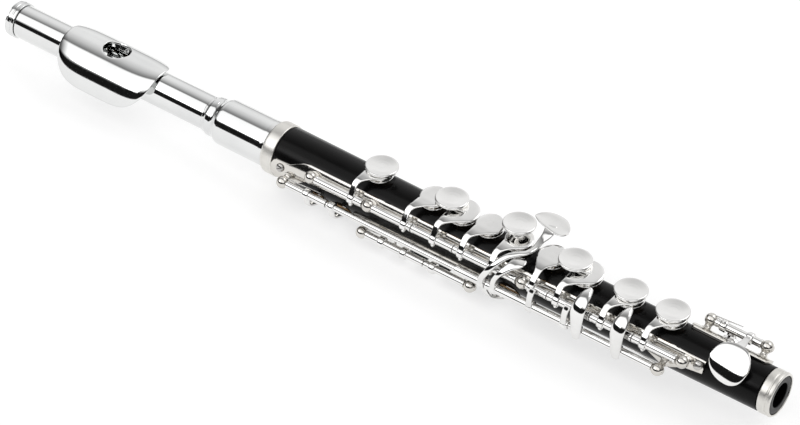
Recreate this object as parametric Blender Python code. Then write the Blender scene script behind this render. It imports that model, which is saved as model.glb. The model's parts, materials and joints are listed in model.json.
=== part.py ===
"""Piccolo with a silver head joint, a black tapered body and a full set of Boehm keys.

Everything is first made in the bore frame, in millimetres: x runs along the bore and is 0 at the
foot end and negative towards the crown, y points away from the player, z points up through the
embouchure hole. A distance u is measured from the foot end towards the crown, so x = -u. finish()
moves a piece to the part's own frame, in metres, and puts its origin on its joint's axis.
"""

import math

import bmesh
import bpy
from mathutils import Matrix, Vector

# ---- driving dimensions, in millimetres and degrees ----
MM = 0.001
LENGTH = 320.0  # crown tip to foot end
BORE_FROM_MIDDLE_Y = 1.23  # the bore axis, seen from the middle of the whole object
BORE_HEIGHT = 13.49  # the bore axis above the lowest point

BODY_TOP_U = 202.6  # shoulder where the body meets the head joint's socket
BODY_R_TOP = 9.2
BODY_R_FOOT = 7.65
BORE_R_TOP = 5.5
BORE_R_FOOT = 4.4
TENON_END_U = 223.2
TENON_R = 7.25
TENON_GROOVE_R = 6.6
RING_LENGTH = 5.0
FOOT_RING_LENGTH = 4.6

HEAD_TUBE_R = 6.25
HEAD_BORE_R = 5.6
HEAD_TUBE_U = (226.4, 315.4)
SLEEVE_R = 8.45
SLEEVE_BORE_R = 7.75
EMBOUCHURE_U = 273.0
EMBOUCHURE_HALF = (5.3, 4.5)  # half length along the bore, half width across it
LIP_HALF_LENGTH = 20.9
LIP_CHIN_ANGLE = 112.0
LIP_FAR_ANGLE = 56.0
LIP_THICKNESS = 0.7
STOPPER_U = 281.5  # face of the stopper, on the embouchure's side

ROD_A = (-11.1, 4.5)  # main rod: (y, z) of its centre
ROD_B = (-12.9, -1.6)  # trill rod
ROD_C = (-11.4, -7.4)  # thumb rod
ROD_D = (8.5, 8.6)  # E flat rod
POSTS_A = (179.5, 155.5, 92.9, 30.9)
POSTS_B = (189.8, 38.4)
POSTS_C = (157.0, 112.6)
POSTS_D = (32.6, 11.4)
BALL_R = 2.2
POST_CLEAR = 1.95  # a hinge tube ends this far from its post's centre
STEEL_R = 0.8
STEEL_BORE_R = 0.95
TUBE_R = 1.4
COLLAR_R = 1.95
ROD_B_R = 0.6  # the D sharp trill key is this rod with thicker ends
D_TUBE_R = 1.05
OUTER_TUBE_R = 1.6
TUBE_GAP = 0.35  # between neighbouring hinge tubes

SEAT_DEPTH = 0.7  # pad seats are cut this deep into the body
PAD_R = 4.2
PAD_HEIGHT = 2.0
CUP_R = 4.8
WIDE_CUP_R = 5.5  # the A and F keys' cups
CUP_PLATE = 0.7
RIM = 0.6  # a cup is this much wider than its pad
SMALL_CUP_R = 4.0
GSHARP_CUP_R = 4.5
TOUCH_R = 5.8
EB_TOUCH = (16.7, 7.4, 121.0, 40.0)  # middle u, half length, middle angle, half angle
OPEN_ANGLE = 8.0  # an open key at rest
GAP = 0.15
RIB_GAP = 0.15
RIB_THICKNESS = 1.0

ROUND = 28  # sides of the pieces turned about the bore
DISC_ROUND = 12  # sides of cups, pads, touches and tone holes
SMALL_ROUND = 8  # sides of rods, hinge tubes and screws


# ---- places ----
def body_r(u):
    """The body's outer radius at a distance from the foot end."""
    return BODY_R_FOOT + (BODY_R_TOP - BODY_R_FOOT) * u / BODY_TOP_U


def bore_r(u):
    return BORE_R_FOOT + (BORE_R_TOP - BORE_R_FOOT) * u / TENON_END_U


def spot(u, y, z):
    return Vector((-u, y, z))


def on_body(u, angle, r):
    """A point at an angle round the bore, counted from +y towards +z."""
    a = math.radians(angle)
    return spot(u, r * math.cos(a), r * math.sin(a))


def on_rod(rod, u):
    return spot(u, rod[0], rod[1])


def turned_about(rod, degrees):
    """Turn about a rod, which runs along x."""
    centre = Vector((0, rod[0], rod[1]))
    turn = Matrix.Rotation(math.radians(degrees), 4, "X")
    return Matrix.Translation(centre) @ turn @ Matrix.Translation(-centre)


# ---- solids, each a closed mesh in its own helper object ----
def solid(bm):
    bmesh.ops.recalc_face_normals(bm, faces=bm.faces)
    mesh = bpy.data.meshes.new("solid")
    bm.to_mesh(mesh)
    bm.free()
    made = bpy.data.objects.new("solid", mesh)
    bpy.context.scene.collection.objects.link(made)
    return made


def loft(rings, loop=False):
    """Skins a list of rings of points; a ring of one point is a tip."""
    bm = bmesh.new()
    made = [[bm.verts.new(p) for p in ring] for ring in rings]
    pairs = list(zip(made, made[1:]))
    if loop:
        pairs.append((made[-1], made[0]))
    for low, high in pairs:
        count = max(len(low), len(high))
        for i in range(count):
            j = (i + 1) % count
            if len(low) == 1:
                bm.faces.new((low[0], high[j], high[i]))
            elif len(high) == 1:
                bm.faces.new((low[i], low[j], high[0]))
            else:
                bm.faces.new((low[i], low[j], high[j], high[i]))
    if not loop:
        for ring in (made[0], made[-1]):
            if len(ring) > 2:
                bm.faces.new(ring)
    return solid(bm)


def circle(centre, direction, r, count):
    d = Vector(direction).normalized()
    side = Vector((0, 0, 1)) if abs(d.z) < 0.9 else Vector((1, 0, 0))
    e1 = (side - side.dot(d) * d).normalized()
    e2 = d.cross(e1)
    if r < 1e-6:
        return [Vector(centre)]
    steps = (2 * math.pi * i / count for i in range(count))
    return [Vector(centre) + r * (math.cos(a) * e1 + math.sin(a) * e2) for a in steps]


def turned(profile, origin, direction, count=ROUND, ring=False):
    """A turned piece from (height, radius) points; ring closes the profile on itself."""
    d = Vector(direction).normalized()
    rings = [circle(Vector(origin) + h * d, d, r, count) for h, r in profile]
    return loft(rings, loop=ring)


def turned_on_bore(profile, count=ROUND, ring=False):
    return turned(profile, (0, 0, 0), (-1, 0, 0), count, ring)


def bar_on(rod, u0, u1, r, count=SMALL_ROUND):
    return turned([(u0, r), (u1, r)], (0, rod[0], rod[1]), (-1, 0, 0), count)


def peg(p0, p1, r0, r1, count=SMALL_ROUND):
    d = Vector(p1) - Vector(p0)
    return turned([(0, r0), (d.length, r1)], p0, d, count)


def curve_through(points, per_span=2):
    """A smooth path through a few control values, each a tuple of numbers."""
    values = [Vector(p) for p in points]
    padded = [2 * values[0] - values[1]] + values + [2 * values[-1] - values[-2]]
    path = []
    for a, b, c, d in zip(padded, padded[1:], padded[2:], padded[3:]):
        for k in range(per_span):
            t = k / per_span
            path.append(
                0.5 * (2 * b + (c - a) * t + (2 * a - 5 * b + 4 * c - d) * t * t
                       + (3 * b - a - 3 * c + d) * t ** 3)
            )
    path.append(values[-1])
    return path


def ribbon(stations, thickness, across=(1, 0, 0), per_span=2):
    """A flat bar along a path; each station is (u, y, z, width). Its long edges are rounded."""
    path = curve_through([(Vector((-s[0], s[1], s[2], s[3]))) for s in stations], per_span)
    rings = []
    for i, station in enumerate(path):
        ahead = path[min(i + 1, len(path) - 1)].xyz - path[max(i - 1, 0)].xyz
        tangent = ahead.normalized()
        side = Vector(across)
        side = (side - side.dot(tangent) * tangent).normalized()
        up = tangent.cross(side)
        half, lift = station.w / 2, thickness / 2
        inset = min(half, lift) * 0.7
        outline = ((half, 0), (half - inset, lift), (inset - half, lift),
                   (-half, 0), (inset - half, -lift), (half - inset, -lift))
        rings.append([station.xyz + a * side + b * up for a, b in outline])
    return loft(rings)


def strap(stations, steps=5):
    """A rib strap that lies round the body; each station is (u, first angle, last angle)."""
    rings = []
    for u, first, last in stations:
        angles = [first + (last - first) * i / steps for i in range(steps + 1)]
        inner = body_r(u) + RIB_GAP
        outside = [on_body(u, a, inner + RIB_THICKNESS) for a in angles]
        rings.append([on_body(u, a, inner) for a in reversed(angles)] + outside)
    return loft(rings)


def shifted(made, matrix):
    made.data.transform(matrix)
    return made


# ---- joining, cutting and finishing ----
def boolean(base, tools, operation):
    """One mesh from base and its tools, which are then removed."""
    for tool in tools:
        step = base.modifiers.new("step", "BOOLEAN")
        step.operation = operation
        step.solver = "EXACT"
        step.object = tool
    bpy.context.view_layer.update()
    shape = bpy.data.meshes.new_from_object(
        base.evaluated_get(bpy.context.evaluated_depsgraph_get())
    )
    base.modifiers.clear()
    base.data = shape
    for tool in tools:
        bpy.data.objects.remove(tool)
    return base


def join(pieces):
    return boolean(pieces[0], pieces[1:], "UNION")


def cut(base, tools):
    return boolean(base, tools, "DIFFERENCE")


def finish(name, made, look, pivot=(0, 0, 0)):
    """Names a piece, moves it to the part's frame in metres, and puts its origin at pivot."""
    place = Vector((LENGTH / 2, BORE_FROM_MIDDLE_Y, BORE_HEIGHT))
    made.data.transform(Matrix.Translation(-Vector(pivot)))
    made.data.transform(Matrix.Scale(MM, 4))
    made.location = (Vector(pivot) + place) * MM
    made.name = name
    made.data.name = name
    made.data.materials.clear()
    made.data.materials.append(look)
    made.data.shade_smooth()
    made.data.set_sharp_from_angle(angle=math.radians(35))
    return made


def material(name, colour, metallic, roughness):
    made = bpy.data.materials.new(name)
    made.use_nodes = True
    shader = made.node_tree.nodes["Principled BSDF"]
    shader.inputs["Base Color"].default_value = (*colour, 1)
    shader.inputs["Metallic"].default_value = metallic
    shader.inputs["Roughness"].default_value = roughness
    return made


# ---- keywork shapes ----
def rod_pivot(rod):
    return Vector((0, rod[0], rod[1]))


def hinge_barrel(rod, u0, u1, collars, r=TUBE_R, collar_r=COLLAR_R):
    """A key's hinge tube before it is drilled, with a collar wherever an arm stands on it."""
    profile = [(u0, r)]
    for u in sorted(collars):
        profile += [(u - 1.1, r), (u - 1.1, collar_r), (u + 1.1, collar_r), (u + 1.1, r)]
    profile += [(u1, r)]
    return turned(profile, (0, rod[0], rod[1]), (-1, 0, 0), SMALL_ROUND)


def drilled(pieces, rod, tube, pockets=(), r=STEEL_BORE_R):
    """A whole key from its pieces: its pad pockets are cut and its hinge tube is drilled."""
    return cut(join(pieces), [*pockets, bar_on(rod, tube[0] - 1, tube[1] + 1, r)])


def tail(rod, u, towards, length=3.6):
    """The pointed foot of an arm, past its hinge tube."""
    d = Vector((0, towards[0], towards[1])).normalized()
    start = on_rod(rod, u) + d * (TUBE_R - 0.1)
    return peg(start, start + d * (length - TUBE_R), 0.95, 0.3, 8)


def seat_height(u):
    return body_r(u) - SEAT_DEPTH


def outward_at(angle):
    a = math.radians(angle)
    return Vector((0, math.cos(a), math.sin(a)))


def cup(u, angle, r=CUP_R):
    """A pad cup before its pocket is cut, closed on its seat."""
    low = seat_height(u) + GAP + RIM
    top = seat_height(u) + 2 * GAP + PAD_HEIGHT + CUP_PLATE
    profile = [(low, 0), (low, r), (top - 0.35, r), (top, r - 0.5), (top + 0.15, 0)]
    return turned(profile, spot(u, 0, 0), outward_at(angle), DISC_ROUND)


def pocket(u, angle, r=PAD_R):
    """The room a pad takes up in its key, open towards the body."""
    low = seat_height(u) - 3
    top = seat_height(u) + 2 * GAP + PAD_HEIGHT
    profile = [(low, 0), (low, r + GAP), (top, r + GAP), (top, 0)]
    return turned(profile, spot(u, 0, 0), outward_at(angle), DISC_ROUND)


def pad(u, angle, r=PAD_R):
    """A skin-covered felt pad, a thin round cushion."""
    low = seat_height(u) + GAP
    profile = [(low, 0), (low, r - 0.4), (low + 0.35, r), (low + PAD_HEIGHT, r), (low + PAD_HEIGHT, 0)]
    return turned(profile, spot(u, 0, 0), outward_at(angle), DISC_ROUND)


def touch(centre, lean=0.0, stem=1.6, neck=2.6):
    """A round domed finger touch; centre is the middle of its rim's plane."""
    profile = [(-0.7 - stem, 0), (-0.7 - stem, neck - 0.3), (-0.7, neck), (-0.2, TOUCH_R), (0.25, TOUCH_R),
               (0.85, TOUCH_R - 1.5), (1.25, 0)]
    a = math.radians(lean)
    return turned(profile, centre, (0, -math.sin(a), math.cos(a)), DISC_ROUND)


def cup_top(u, angle, back=0.35):
    """The middle of a closed cup's plate."""
    return on_body(u, angle, seat_height(u) + 2 * GAP + PAD_HEIGHT + CUP_PLATE - back)


# ---- head joint ----
def crown():
    rim = []
    for u in (315.9, 317.6):
        rim += [(u, 6.75), (u + 1.0, 6.75), (u + 1.15, 6.5), (u + 1.55, 6.5)]
    profile = [(318.7, 0), (318.7, 2.3), (315.7, 2.3), (315.7, 6.55)] + rim
    profile += [(319.3, 6.6), (319.8, 5.0), (LENGTH, 2.6), (LENGTH, 0)]
    return turned_on_bore(profile)


def head_tube():
    low, high = HEAD_TUBE_U
    profile = [(low, HEAD_BORE_R), (low, HEAD_TUBE_R), (high, HEAD_TUBE_R), (high, HEAD_BORE_R)]
    tube = turned_on_bore(profile, ROUND, ring=True)
    return cut(tube, [oval_peg(EMBOUCHURE_HALF[0] + 0.2, EMBOUCHURE_HALF[1] + 0.2, 2, 12)])


def oval_peg(half_x, half_y, z0, z1, count=24):
    rings = []
    for z in (z0, z1):
        steps = (2 * math.pi * i / count for i in range(count))
        rings.append([spot(EMBOUCHURE_U - half_x * math.cos(a), half_y * math.sin(a), z) for a in steps])
    return loft(rings)


def head_sleeve():
    """The socket that slides over the body's tenon, with its step down to the head tube."""
    profile = [(203.0, SLEEVE_BORE_R), (203.0, 8.05), (204.2, SLEEVE_R), (223.8, SLEEVE_R),
               (225.2, 7.6), (226.8, 7.0), (227.6, 7.15), (228.8, 7.15), (229.2, 6.8),
               (230.5, 6.65), (230.5, HEAD_TUBE_R + 0.05), (226.2, HEAD_TUBE_R + 0.05),
               (226.2, HEAD_BORE_R), (224.1, HEAD_BORE_R), (224.1, SLEEVE_BORE_R)]
    return turned_on_bore(profile, ROUND, ring=True)


def lip_height(du, angle):
    """The lip plate's distance from the bore axis; angle is from the top, negative to the chin."""
    share = abs(angle) / 90.0
    crest = 7.9 + (4.6 * share ** 1.6 if angle < 0 else 2.6 * share ** 1.3)
    edge = min(1.0, abs(du) / LIP_HALF_LENGTH)
    root = HEAD_TUBE_R + LIP_THICKNESS + 0.3
    return crest - (crest - root) * 0.6 * edge ** 5


def lip_point(du, angle, lift):
    r = lip_height(du, angle) + lift
    a = math.radians(90 - angle)
    return spot(EMBOUCHURE_U + du, r * math.cos(a), r * math.sin(a))


def lip_outline(t):
    """The plate's edge, a rectangle with soft corners, as a length along the bore and an angle round it."""
    c, s = math.cos(t), math.sin(t)
    out = (c ** 4 + s ** 4) ** -0.25
    reach = LIP_CHIN_ANGLE if s < 0 else LIP_FAR_ANGLE
    return LIP_HALF_LENGTH * c * out, reach * s * out


def hole_edge(t, grow=0.0):
    """The embouchure hole's edge, in the same terms as lip_outline."""
    across = math.degrees((EMBOUCHURE_HALF[1] + grow) / 7.9)
    return (EMBOUCHURE_HALF[0] + grow) * math.cos(t), across * math.sin(t)


def lip_plate():
    count, rows = 28, 4
    steps = [2 * math.pi * i / count for i in range(count)]
    top, under = [], []
    for k in range(rows + 1):
        w = (k / rows) ** 1.15
        row = []
        for t in steps:
            d0, a0 = hole_edge(t)
            d1, a1 = lip_outline(t)
            row.append((d0 + (d1 - d0) * w, a0 + (a1 - a0) * w))
        top.append([lip_point(d, a, 0) for d, a in row])
        under.append([lip_point(d, a, -LIP_THICKNESS) for d, a in row])
    return loft(top + under[::-1], loop=True)


def embouchure_riser():
    count = 20
    steps = [2 * math.pi * i / count for i in range(count)]
    rings = []
    for grow, foot in ((0.0, True), (0.0, False), (1.1, False), (1.1, True)):
        ring = []
        for t in steps:
            du, angle = hole_edge(t, grow)
            a = math.radians(90 - angle)
            top = lip_height(du, angle) - LIP_THICKNESS - GAP
            r = HEAD_TUBE_R + GAP if foot else top
            ring.append(spot(EMBOUCHURE_U + du, r * math.cos(a), r * math.sin(a)))
        rings.append(ring)
    return loft(rings, loop=True)


def stopper_face_plate():
    return turned_on_bore([(STOPPER_U, 0), (STOPPER_U, 5.1), (STOPPER_U + 0.9, 5.1), (STOPPER_U + 0.9, 0)])


def stopper_cork():
    low, high = STOPPER_U + 1.2, STOPPER_U + 10.2
    profile = [(low, 1.7), (low, 5.2), (low + 0.5, 5.4), (high - 0.5, 5.4), (high, 5.2), (high, 1.7)]
    return turned_on_bore(profile, ROUND, ring=True)


def stopper_back_plate():
    low = STOPPER_U + 10.5
    return turned_on_bore([(low, 1.7), (low, 5.1), (low + 0.9, 5.1), (low + 0.9, 1.7)], ROUND, ring=True)


def stopper_screw():
    return turned_on_bore([(STOPPER_U + 1.2, 0), (STOPPER_U + 1.2, 1.45), (317.4, 1.45), (317.8, 1.1),
                           (317.8, 0)], SMALL_ROUND)


# ---- body ----
TONE_HOLES = {  # name: (u, angle, hole radius, seat radius)
    "c": (158.3, 90, 2.7, 4.5),
    "bb": (136.0, 90, 2.9, 4.5),
    "a": (124.1, 90, 2.9, 4.5),
    "g_upper": (113.3, 90, 3.0, 4.5),
    "g_lower": (101.6, 90, 3.0, 4.5),
    "fsharp": (88.4, 90, 3.0, 4.5),
    "f": (74.8, 90, 3.1, 4.5),
    "e": (57.8, 90, 3.2, 4.5),
    "d": (41.6, 90, 3.2, 4.5),
    "gsharp": (100.5, 226, 2.6, 4.2),
    "d_trill": (168.9, 226, 2.2, 3.7),
    "dsharp_trill": (179.4, 226, 2.2, 3.7),
    "eb": (25.0, 2, 3.0, 4.5),
    "thumb": (146.5, 262, 2.6, 4.5),
}


def screw_places():
    """Rib screws: name, distance from the foot end, angle."""
    return (("main_rib_screw_top", 193.0, 172.0), ("main_rib_screw_foot", 26.6, 157.0),
            ("thumb_rib_screw", 161.4, 216.0), ("foot_rib_screw", 22.0, 70.0))


def body_tube():
    foot = FOOT_RING_LENGTH + 0.3
    profile = [(0.3, bore_r(0)), (0.3, 6.7), (foot, 6.7), (foot, body_r(foot)),
               (BODY_TOP_U - RING_LENGTH - 0.3, body_r(BODY_TOP_U - RING_LENGTH)),
               (BODY_TOP_U - RING_LENGTH - 0.3, 8.1), (BODY_TOP_U, 8.1), (BODY_TOP_U, TENON_R),
               (205.5, TENON_R), (205.5, TENON_GROOVE_R), (218.5, TENON_GROOVE_R), (218.5, TENON_R),
               (TENON_END_U - 0.5, TENON_R), (TENON_END_U, TENON_R - 0.5), (TENON_END_U, bore_r(TENON_END_U))]
    tube = turned_on_bore(profile, ring=True)
    cutters = []
    for u, angle, hole_r, seat_r in TONE_HOLES.values():
        outward = on_body(u, angle, 1) - spot(u, 0, 0)
        seat = seat_height(u)
        step = [(2.5, hole_r), (seat, hole_r), (seat, seat_r + 0.3), (seat + 4, seat_r + 0.3)]
        profile = [(2.5, 0)] + step + [(seat + 4, 0)]
        cutters.append(turned(profile, spot(u, 0, 0), outward, DISC_ROUND))
    for _, u, angle in screw_places():
        inner = body_r(u) - 2.6
        cutters.append(peg(on_body(u, angle, inner), on_body(u, angle, body_r(u) + 1), 0.85, 0.85, 8))
    return cut(tube, cutters)


def tenon_cork():
    low, high = 205.7, 218.3
    profile = [(low, 6.75), (low, 7.35), (low + 0.3, 7.55), (high - 0.3, 7.55), (high, 7.35), (high, 6.75)]
    return turned_on_bore(profile, ROUND, ring=True)


def upper_ring():
    low, high = BODY_TOP_U - RING_LENGTH, BODY_TOP_U
    profile = [(low, 8.3), (low, 9.35), (low + 0.5, 9.6), (low + 2.1, 9.6), (low + 2.35, 9.4),
               (low + 2.6, 9.6), (high - 0.5, 9.6), (high, 9.35), (high, 8.3)]
    return turned_on_bore(profile, ring=True)


def foot_ring():
    high = FOOT_RING_LENGTH
    profile = [(0, 6.9), (0, 7.5), (0.35, 7.85), (high - 0.3, 7.85), (high, 7.6), (high, 6.9)]
    return turned_on_bore(profile, ring=True)


def post(rod, u):
    """A ball post: its ball is on the rod and its stem stands on the rib."""
    inward = -Vector((0, rod[0], rod[1])).normalized()
    reach = math.hypot(*rod) - body_r(u) - RIB_GAP - 0.4
    profile = [(-BALL_R * math.cos(a), BALL_R * math.sin(a)) for a in (0, 0.6, 1.15, 1.7, 2.25)]
    profile += [(BALL_R * 0.82, 1.3), (reach, 1.9), (reach, 0)]
    return turned(profile, on_rod(rod, u), inward, 10)


def rib(stations, posts, rod_bores):
    """A strap with its soldered posts, drilled for the steels and the screws."""
    pieces = [strap(stations)]
    for rod, u in posts:
        pieces.append(post(rod, u))
    whole = join(pieces)
    bores = [bar_on(rod, u0, u1, STEEL_BORE_R) for rod, u0, u1 in rod_bores]
    for _, u, angle in screw_places():
        first, last = (min(s[0] for s in stations), max(s[0] for s in stations))
        if first < u < last and stations[0][1] - 30 < angle < stations[0][2] + 30:
            r = body_r(u)
            bores.append(peg(on_body(u, angle, r - 1), on_body(u, angle, r + 3), 1.0, 1.0))
    return cut(whole, bores)


def main_rib():
    stations = [(197.0, 164, 196), (195.5, 158, 202), (189.5, 157, 202), (187.0, 149, 196),
                (184.5, 143, 186), (182.0, 140, 177), (171.0, 140, 174), (124.0, 140, 174),
                (60.0, 140, 175), (46.0, 140, 175), (43.0, 140, 185), (40.4, 140, 195),
                (36.4, 140, 195), (33.8, 141, 186), (31.0, 142, 177), (24.3, 142, 172)]
    posts = [(ROD_A, u) for u in POSTS_A] + [(ROD_B, u) for u in POSTS_B]
    bores = [(ROD_A, u - 4, u + 4) for u in POSTS_A] + [(ROD_B, u - 4, u + 4) for u in POSTS_B]
    return rib(stations, posts, bores)


def thumb_rib():
    stations = [(163.8, 210, 222), (162.8, 205, 227), (159.9, 203, 226), (111.0, 203, 226), (109.2, 208, 221)]
    posts = [(ROD_C, u) for u in POSTS_C]
    return rib(stations, posts, [(ROD_C, u - 4, u + 4) for u in POSTS_C])


def foot_rib():
    stations = [(36.4, 44, 70), (35.6, 34, 78), (30.6, 34, 78), (29.8, 43, 78), (29.0, 52, 78), (15.4, 52, 78),
                (14.6, 43, 78), (13.8, 34, 78), (8.6, 34, 78), (7.4, 44, 66)]
    posts = [(ROD_D, u) for u in POSTS_D]
    return rib(stations, posts, [(ROD_D, u - 4, u + 4) for u in POSTS_D])


def rib_screw(u, angle):
    """A round-headed wood screw, slotted across its head."""
    surface = body_r(u)
    top = surface + RIB_GAP + RIB_THICKNESS + GAP
    outward = on_body(u, angle, 1) - spot(u, 0, 0)
    profile = [(surface - 2.4, 0), (surface - 2.0, 0.6), (top, 0.65), (top, 1.6), (top + 0.35, 1.55),
               (top + 0.85, 0.8), (top + 0.9, 0)]
    screw = turned(profile, spot(u, 0, 0), outward, 12)
    slot_low, slot_high = on_body(u, angle, top + 0.5), on_body(u, angle, top + 2)
    across = (slot_high - slot_low).cross(Vector((1, 0, 0))).normalized()
    slot = loft([
        [p + Vector((a * 0.22, 0, 0)) + across * b * 2.2 for a, b in ((1, 1), (-1, 1), (-1, -1), (1, -1))]
        for p in (slot_low, slot_high)
    ])
    return cut(screw, [slot])


# ---- keys ----
def top_arm(collar_u, cup_u, widths):
    """The arm of a main-rod key, made with its cup open: it rises from the hinge tube to the cup."""
    hub = turned_about(ROD_A, OPEN_ANGLE) @ cup_top(cup_u, 90)
    y0, z0 = ROD_A
    stations = [(collar_u, y0 + 0.1, z0 + 0.7, widths[0]), (collar_u, y0 + 0.9, z0 + 3.2, widths[0]),
                (collar_u - 0.5, -7.0, hub.z - 1.4, widths[1]), (cup_u + 0.9, -3.5, hub.z - 0.35, widths[2]),
                (cup_u, hub.y, hub.z, widths[2] * 0.85)]
    return ribbon(stations, 1.0)


LEAF = (2.1, 3.2, 7.0)
NARROW = (1.9, 2.6, 4.4)


def bridge(cup_u, touch_u, y, z):
    """Carries an offset touch from the plate of its cup."""
    plate = (turned_about(ROD_A, OPEN_ANGLE) @ cup_top(cup_u, 90)).z
    under = z - 0.75
    stations = [(cup_u - 1.5, y, plate, 3.6), (cup_u + 1.4, y, plate + 0.25, 4.4),
                (touch_u - 1.2, y, under, 4.4), (touch_u + 0.6, y, under, 3.6)]
    return ribbon(stations, 0.8, (0, 1, 0), 1)


def open_key(tube, arms, finger=None, offset_from=None):
    """A main-rod key. tube is (u0, u1), arms are (tone hole, collar u, widths)."""
    lift = turned_about(ROD_A, OPEN_ANGLE)
    pieces = [hinge_barrel(ROD_A, tube[0], tube[1], [a[1] for a in arms])]
    pockets = []
    for hole, collar_u, widths in arms:
        pieces.append(tail(ROD_A, collar_u, (-0.35, -1)))
        pieces.append(top_arm(collar_u, TONE_HOLES[hole][0], widths))
        pieces.append(shifted(cup(*TONE_HOLES[hole][:2], WIDE_CUP_R if offset_from else CUP_R), lift))
        pockets.append(shifted(pocket(*TONE_HOLES[hole][:2]), lift))
    if finger:
        u, y, z, stem = finger
        pieces.append(touch(spot(u, y, z), 1.5, stem, 1.6 if offset_from else 2.6))
        if offset_from:
            pieces.append(bridge(TONE_HOLES[offset_from][0], u, y, z))
    return drilled(pieces, ROD_A, tube, pockets)


def tubes_between(first, last, ends):
    """Splits a stretch between two posts into hinge tubes that end at the given places."""
    edges = [first - POST_CLEAR] + list(ends) + [last + POST_CLEAR]
    return [(b + TUBE_GAP / 2, a - TUBE_GAP / 2) for a, b in zip(edges, edges[1:])]


def dsharp_trill_key():
    u, angle = TONE_HOLES["dsharp_trill"][:2]
    low, high = POSTS_B[1], POSTS_B[0]
    profile = [(low - 1.6, 0), (low - 1.6, ROD_B_R), (low + 2.0, ROD_B_R), (low + 2.0, 1.35), (67.2, 1.35),
               (67.2, ROD_B_R), (171.2, ROD_B_R), (171.2, 1.35), (high - 2.0, 1.35), (high - 2.0, ROD_B_R),
               (high + 1.6, ROD_B_R), (high + 1.6, 0)]
    rod = turned(profile, (0, ROD_B[0], ROD_B[1]), (-1, 0, 0), SMALL_ROUND)
    pieces = [rod, collar(ROD_B, u), collar(ROD_B, 53.8), cup(u, angle, SMALL_CUP_R)]
    pieces += [trill_arm(u, angle), trill_touch(53.8)]
    return cut(join(pieces), [pocket(u, angle, SMALL_CUP_R - RIM)])


def d_trill_key():
    u, angle = TONE_HOLES["d_trill"][:2]
    tube = (67.6, 170.8)
    pieces = [hinge_barrel(ROD_B, *tube, [69.2, u], D_TUBE_R, 1.8), cup(u, angle, SMALL_CUP_R)]
    pieces += [trill_arm(u, angle), trill_touch(69.2)]
    return drilled(pieces, ROD_B, tube, [pocket(u, angle, SMALL_CUP_R - RIM)], ROD_B_R + 0.14)


def collar(rod, u):
    return bar_on(rod, u - 1.1, u + 1.1, COLLAR_R)


def trill_arm(u, angle):
    hub = cup_top(u, angle)
    stations = [(u, ROD_B[0] + 0.1, ROD_B[1] - 1.1, 2.0), (u, -12.2, -6.2, 2.6), (u, hub.y, hub.z, 4.2)]
    return ribbon(stations, 1.0)


def trill_touch(u):
    """A tall curved blade that stands on the trill rod and bends over the main rod."""
    y0, z0 = ROD_B
    stations = [(u, y0 - 0.9, z0 - 2.6, 1.6), (u, y0 - 1.3, z0 - 0.2, 2.6), (u, y0 - 1.9, 3.2, 3.6),
                (u, y0 - 1.5, 6.6, 4.4), (u, -12.4, 9.3, 4.8), (u, -9.4, 10.9, 4.4), (u, -6.9, 11.2, 2.4)]
    return ribbon(stations, 1.1)


def moon_touch():
    """The half-moon touch: rows of (u, near edge, far edge), gently domed."""
    rows = ((102.0, 8.5, 8.5), (100.6, 7.2, 11.2), (98.0, 6.0, 12.6), (95.0, 5.2, 13.0), (92.0, 4.6, 12.4),
            (89.6, 4.9, 10.6), (88.2, 6.6, 8.2))
    rings = []
    for u, near, far in rows:
        middle, half = (near + far) / 2, (far - near) / 2
        z = 15.3 + 0.09 * middle
        if half == 0:
            rings.append([spot(u, middle, z)])
            continue
        outline = ((-1, 0), (-0.6, 0.5), (0, 0.7), (0.6, 0.5), (1, 0), (0.6, -0.4), (-0.6, -0.4))
        rings.append([spot(u, middle + a * half, z + 0.09 * a * half + b) for a, b in outline])
    return loft(rings)


def gsharp_key():
    y0, z0 = ROD_B
    u, angle = TONE_HOLES["gsharp"][:2]
    hub = cup_top(u, angle)
    tube = (105.6, 117.4)
    pad_arm = ribbon([(107.0, y0 - 0.1, z0 - 1.5, 2.2), (104.4, -11.6, -6.9, 2.6), (u, hub.y, hub.z, 4.2)], 1.0)
    s_arm = ribbon([(107.0, y0 - 1.3, z0 - 0.2, 2.2), (106.5, y0 - 2.0, 1.4, 2.2), (104.8, -14.3, 4.8, 2.2),
                    (102.8, -12.5, 8.0, 2.2), (100.5, -10.0, 10.5, 2.2), (97.8, -7.4, 11.6, 2.2),
                    (95.5, -5.0, 11.7, 2.2), (94.6, -1.6, 12.2, 2.2), (94.5, 1.6, 13.4, 2.6),
                    (94.0, 4.6, 15.0, 3.6), (94.6, 7.4, 15.6, 3.6)], 1.1)
    pieces = [hinge_barrel(ROD_B, *tube, [107.0], OUTER_TUBE_R, 2.1), s_arm, moon_touch(), pad_arm]
    pieces.append(cup(u, angle, GSHARP_CUP_R))
    return drilled(pieces, ROD_B, tube, [pocket(u, angle, GSHARP_CUP_R - RIM)], D_TUBE_R + 0.15)


def bb_lever():
    """Side lever: a tube over the trill rod, a spoon touch, and two arms that reach the main rod."""
    y0, z0 = ROD_B
    tube = (72.6, 105.2)
    spoon = ribbon([(102.2, y0 - 1.4, z0 + 0.2, 2.0), (101.6, y0 - 2.0, 3.0, 1.9), (100.0, -14.0, 6.2, 2.0),
                    (98.0, -11.9, 8.6, 2.8), (96.4, -9.8, 9.7, 4.4), (95.4, -8.2, 10.0, 4.2),
                    (94.7, -7.1, 10.0, 2.4)], 1.0)
    pieces = [hinge_barrel(ROD_B, *tube, [74.2, 87.8, 102.2], OUTER_TUBE_R, 2.1), spoon]
    for u in (87.8, 74.2):
        pieces.append(ribbon([(u, y0 - 1.3, z0 + 0.4, 2.4), (u - 0.4, y0 - 1.5, 3.6, 2.2),
                              (u - 0.8, -13.5, 6.6, 2.4)], 1.0))
    return drilled(pieces, ROD_B, tube, (), D_TUBE_R + 0.15)


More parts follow.
